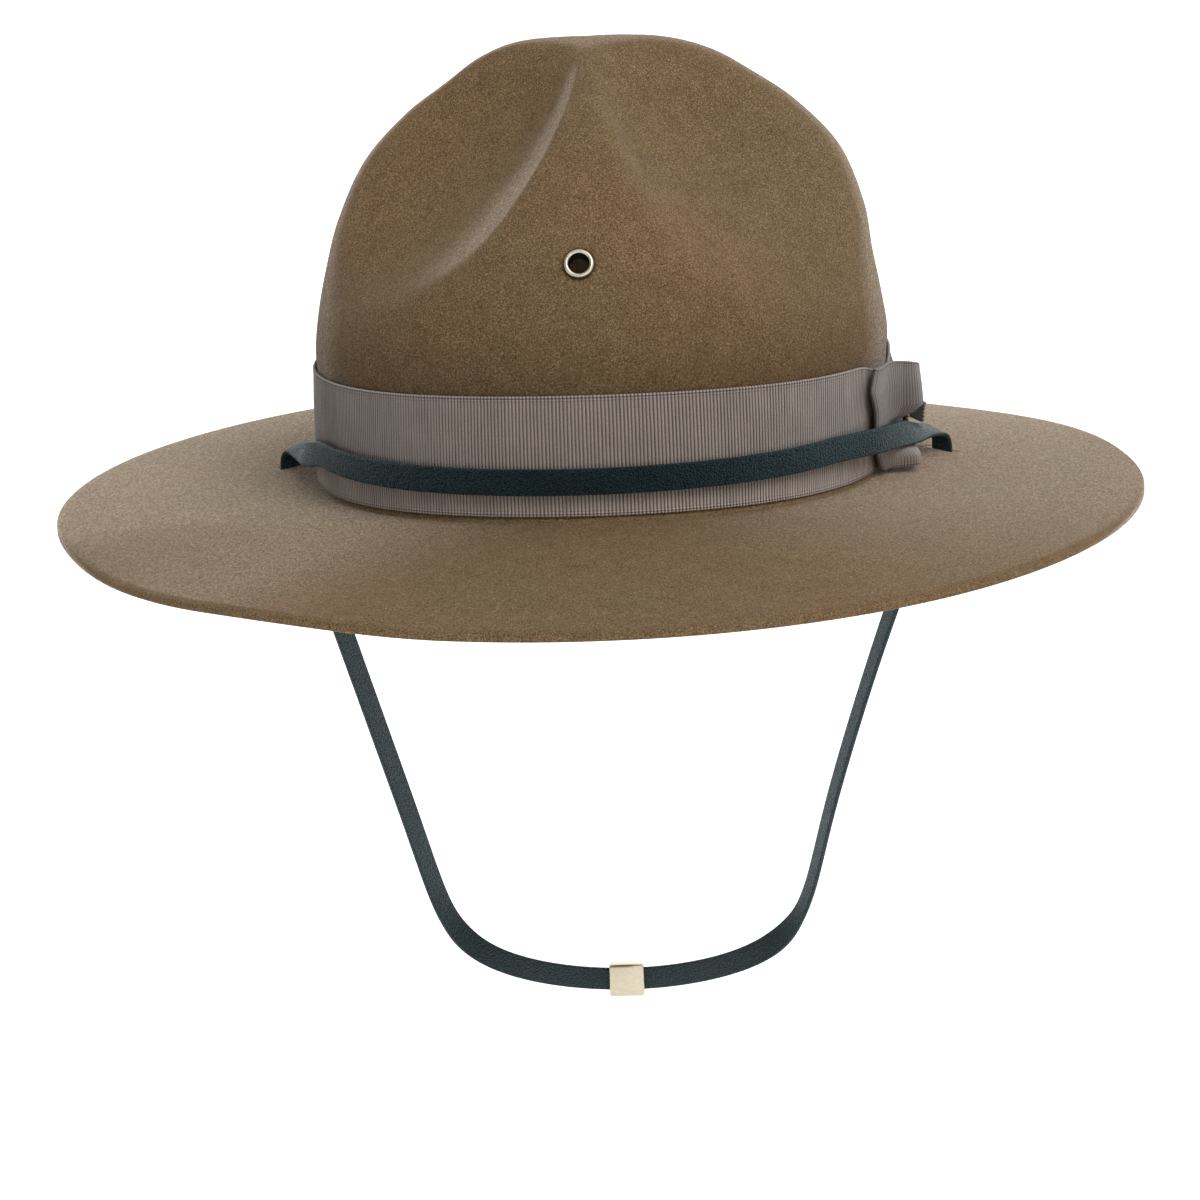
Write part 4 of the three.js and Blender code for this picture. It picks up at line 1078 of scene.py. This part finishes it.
def strap_line():
    """The strap's evenly spaced middle points and its width and face directions there."""
    stations = strap_stations()
    line = smooth_loop([place for place, face in stations])
    faces = smooth_loop([unit(face) for place, face in stations])
    lengths = lengths_along(line)
    count = int(lengths[-1] / STRAP_STEP)
    wanted = np.arange(count) * lengths[-1] / count
    middle, face = (
        np.column_stack([np.interp(wanted, lengths, curve[:, k]) for k in range(3)])
        for curve in (line, faces)
    )
    face = soften(face, FACE_SOFTENING)
    low = np.interp(-middle[:, 2], [-height for height in LOOP_SOFT_HEIGHTS], (0, 1))
    middle = mix(soften(middle, LINE_SOFTENING), soften(middle, LOOP_SOFTENING), low[:, None])
    tangent = unit(np.roll(middle, -1, axis=0) - np.roll(middle, 1, axis=0))
    across = unit(np.cross(tangent, face))
    return middle, tangent, across, np.cross(across, tangent)


def band_section(width, thickness, round_by, steps=4):
    """A flat section with rounded corners, as (across, out) pairs."""
    section = []
    for sx, sy, start in ((1, -1, 270), (1, 1, 0), (-1, 1, 90), (-1, -1, 180)):
        for i in range(steps + 1):
            a = math.radians(start + 90 * i / steps)
            across = sx * (width / 2 - round_by) + round_by * math.cos(a)
            section.append((across, sy * (thickness / 2 - round_by) + round_by * math.sin(a)))
    return section


def build_strap(line):
    middle, _, across, face = line
    section = band_section(STRAP_WIDTH, STRAP_THICKNESS, STRAP_ROUNDING)
    points = np.stack([middle + a * across + b * face for a, b in section], axis=1)
    faces = grid_faces(len(middle), len(section), wrap_rows=True, wrap_columns=True)
    return make_object("leather_strap", points.reshape(-1, 3), faces, LEATHER)


def build_slide(line):
    lowest = int(np.argmin(line[0][:, 2]))
    middle, tangent, across, face = (row[lowest] for row in line)
    clear = 2 * FIT_GAP
    rings = []
    for grow, end, round_by in (
        (clear, 1.0, 0.5),
        (clear, -1.0, 0.5),
        (clear + SLIDE_ROUNDING, -1.06, 0.6),
        (clear + SLIDE_WALL - SLIDE_ROUNDING, -1.06, 0.9),
        (clear + SLIDE_WALL, -0.97, 1.0),
        (clear + SLIDE_WALL, 0.97, 1.0),
        (clear + SLIDE_WALL - SLIDE_ROUNDING, 1.06, 0.9),
        (clear + SLIDE_ROUNDING, 1.06, 0.6),
    ):
        at = middle + end * SLIDE_LENGTH / 2 * tangent
        section = band_section(STRAP_WIDTH + 2 * grow, STRAP_THICKNESS + 2 * grow, round_by)
        rings.append([at + a * across + b * face for a, b in section])
    rings = np.array(rings)
    faces = grid_faces(len(rings), rings.shape[1], wrap_rows=True, wrap_columns=True)
    return make_object("strap_sleeve", rings.reshape(-1, 3), faces, SLIDE_METAL)


# The pieces

felt = build_felt()
hole_profile = [(EYELET_BARREL + FIT_GAP, end * TOOL_REACH) for end in (-1, 1)]
hole = lathe("tool_hole", hole_profile, 48, *eyelet_place(), FELT, closed=False)
cut_with(felt, [slot_tool("right"), slot_tool("left"), hole])
band, band_length = build_band()
front_loop, front_length = build_loop("bow_loop_front", -1, 1.0, 1)
rear_loop, rear_length = build_loop("bow_loop_rear", 1, 0.85, 0)
knot, knot_width, knot_length = build_knot()
tail = build_tail()
eyelet = build_eyelet()
line = strap_line()
strap = build_strap(line)
slide = build_slide(line)

for piece, node, slot in (
    (felt, "felt_body", "felt"),
    (band, "ribbon_band", "ribbon"),
    (front_loop, "bow_front_loop", "ribbon"),
    (rear_loop, "bow_rear_loop", "ribbon"),
    (knot, "bow_knot", "ribbon"),
    (tail, "bow_tail", "ribbon"),
    (eyelet, "front_eyelet", "eyelet_metal"),
    (strap, "chin_strap", "strap_leather"),
    (slide, "strap_slide", "slide_metal"),
):
    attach(piece, "root")
    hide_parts(node)

# Floor, light and camera

FLOOR_Z = -0.3
FLOOR_HALF = 30.0


def plane_material():
    n = Nodes("pale_floor")
    where = n.add("ShaderNodeTexCoord").outputs["Object"]
    tone = n.greys(n.noise(where, 3.0), (0.3, 0.86), (0.7, 0.88))
    return n.finish(
        Base_Color=tone,
        Roughness=0.9,
        Specular_IOR_Level=0.1,
        Emission_Color=(1.0, 1.0, 1.0, 1.0),
        Emission_Strength=0.4,
    )


floor_mesh = bpy.data.meshes.new("floor")
corners = [(x * FLOOR_HALF, y * FLOOR_HALF, FLOOR_Z) for x, y in ((-1, -1), (1, -1), (1, 1), (-1, 1))]
floor_mesh.from_pydata(corners, [], [(0, 1, 2, 3)])
floor_mesh.materials.append(plane_material())
floor = in_scene("floor", floor_mesh)


def soft_sun(name, source, strength, spread, colour):
    """A distant soft light that comes from a direction."""
    lamp = bpy.data.lights.new(name, "SUN")
    lamp.energy = strength
    lamp.angle = math.radians(spread)
    lamp.color = colour
    in_scene(name, lamp).rotation_euler = Vector(source).to_track_quat("Z", "Y").to_euler()


soft_sun("key", (0.5, -0.66, 0.92), 2.05, 36, (1.0, 0.985, 0.96))
soft_sun("front", (0.3, -1.0, 0.12), 0.3, 40, (1.0, 0.99, 0.97))
soft_sun("fill", (-1.0, -0.3, 0.4), 0.06, 60, (0.8, 0.9, 1.0))


BRIGHT_SIDE = (0.22, 0.97, 0.1)
BRIGHT_REACH = {"From Min": -0.3, "From Max": 0.95, "To Min": 0.3, "To Max": 1.9}


def studio_world():
    """A white studio: dim in front, bright behind the hat and to its left."""
    world = bpy.data.worlds.new("studio")
    world.use_nodes = True
    tree = world.node_tree
    where = tree.nodes.new("ShaderNodeTexCoord")
    towards = tree.nodes.new("ShaderNodeVectorMath")
    towards.operation = "DOT_PRODUCT"
    towards.inputs[1].default_value = BRIGHT_SIDE
    rise = tree.nodes.new("ShaderNodeMapRange")
    rise.interpolation_type = "SMOOTHSTEP"
    for key, value in BRIGHT_REACH.items():
        rise.inputs[key].default_value = value
    back = tree.nodes["Background"]
    back.inputs["Color"].default_value = (0.97, 0.985, 1.0, 1.0)
    tree.links.new(where.outputs["Generated"], towards.inputs[0])
    tree.links.new(towards.outputs["Value"], rise.inputs["Value"])
    tree.links.new(rise.outputs[0], back.inputs["Strength"])
    return world


bpy.context.scene.world = studio_world()
bpy.context.scene.view_settings.view_transform = "Standard"

CAMERA_FAR = 1.2
CAMERA_UP = 13.29
CAMERA_ROUND = 2.5
CAMERA_ROLL = -2.08
CAMERA_FOCAL_PIXELS = 3846.0
PHOTO_PIXELS = 1200.0
SENSOR_WIDTH = 36.0
# Where the camera looks: to its right of the origin, and up from it
TARGET_RIGHT = -0.00149
TARGET_UP = -0.04254


def place_camera():
    a, e, r = (math.radians(v) for v in (CAMERA_ROUND, CAMERA_UP, CAMERA_ROLL))
    back = Vector((math.sin(a) * math.cos(e), -math.cos(a) * math.cos(e), math.sin(e)))
    right = Vector((math.cos(a), math.sin(a), 0))
    up = back.cross(right)
    right_rolled = right * math.cos(r) + up * math.sin(r)
    up_rolled = up * math.cos(r) - right * math.sin(r)
    target = right * TARGET_RIGHT + Vector((0, 0, TARGET_UP))
    lens = bpy.data.cameras.new("camera")
    lens.sensor_width = SENSOR_WIDTH
    lens.lens = CAMERA_FOCAL_PIXELS / PHOTO_PIXELS * SENSOR_WIDTH
    lens.clip_end = 2 * FLOOR_HALF
    thing = in_scene("camera", lens)
    turned = Matrix((right_rolled, up_rolled, back)).transposed().to_4x4()
    thing.matrix_world = Matrix.Translation(target + back * CAMERA_FAR) @ turned
    bpy.context.scene.camera = thing


place_camera()
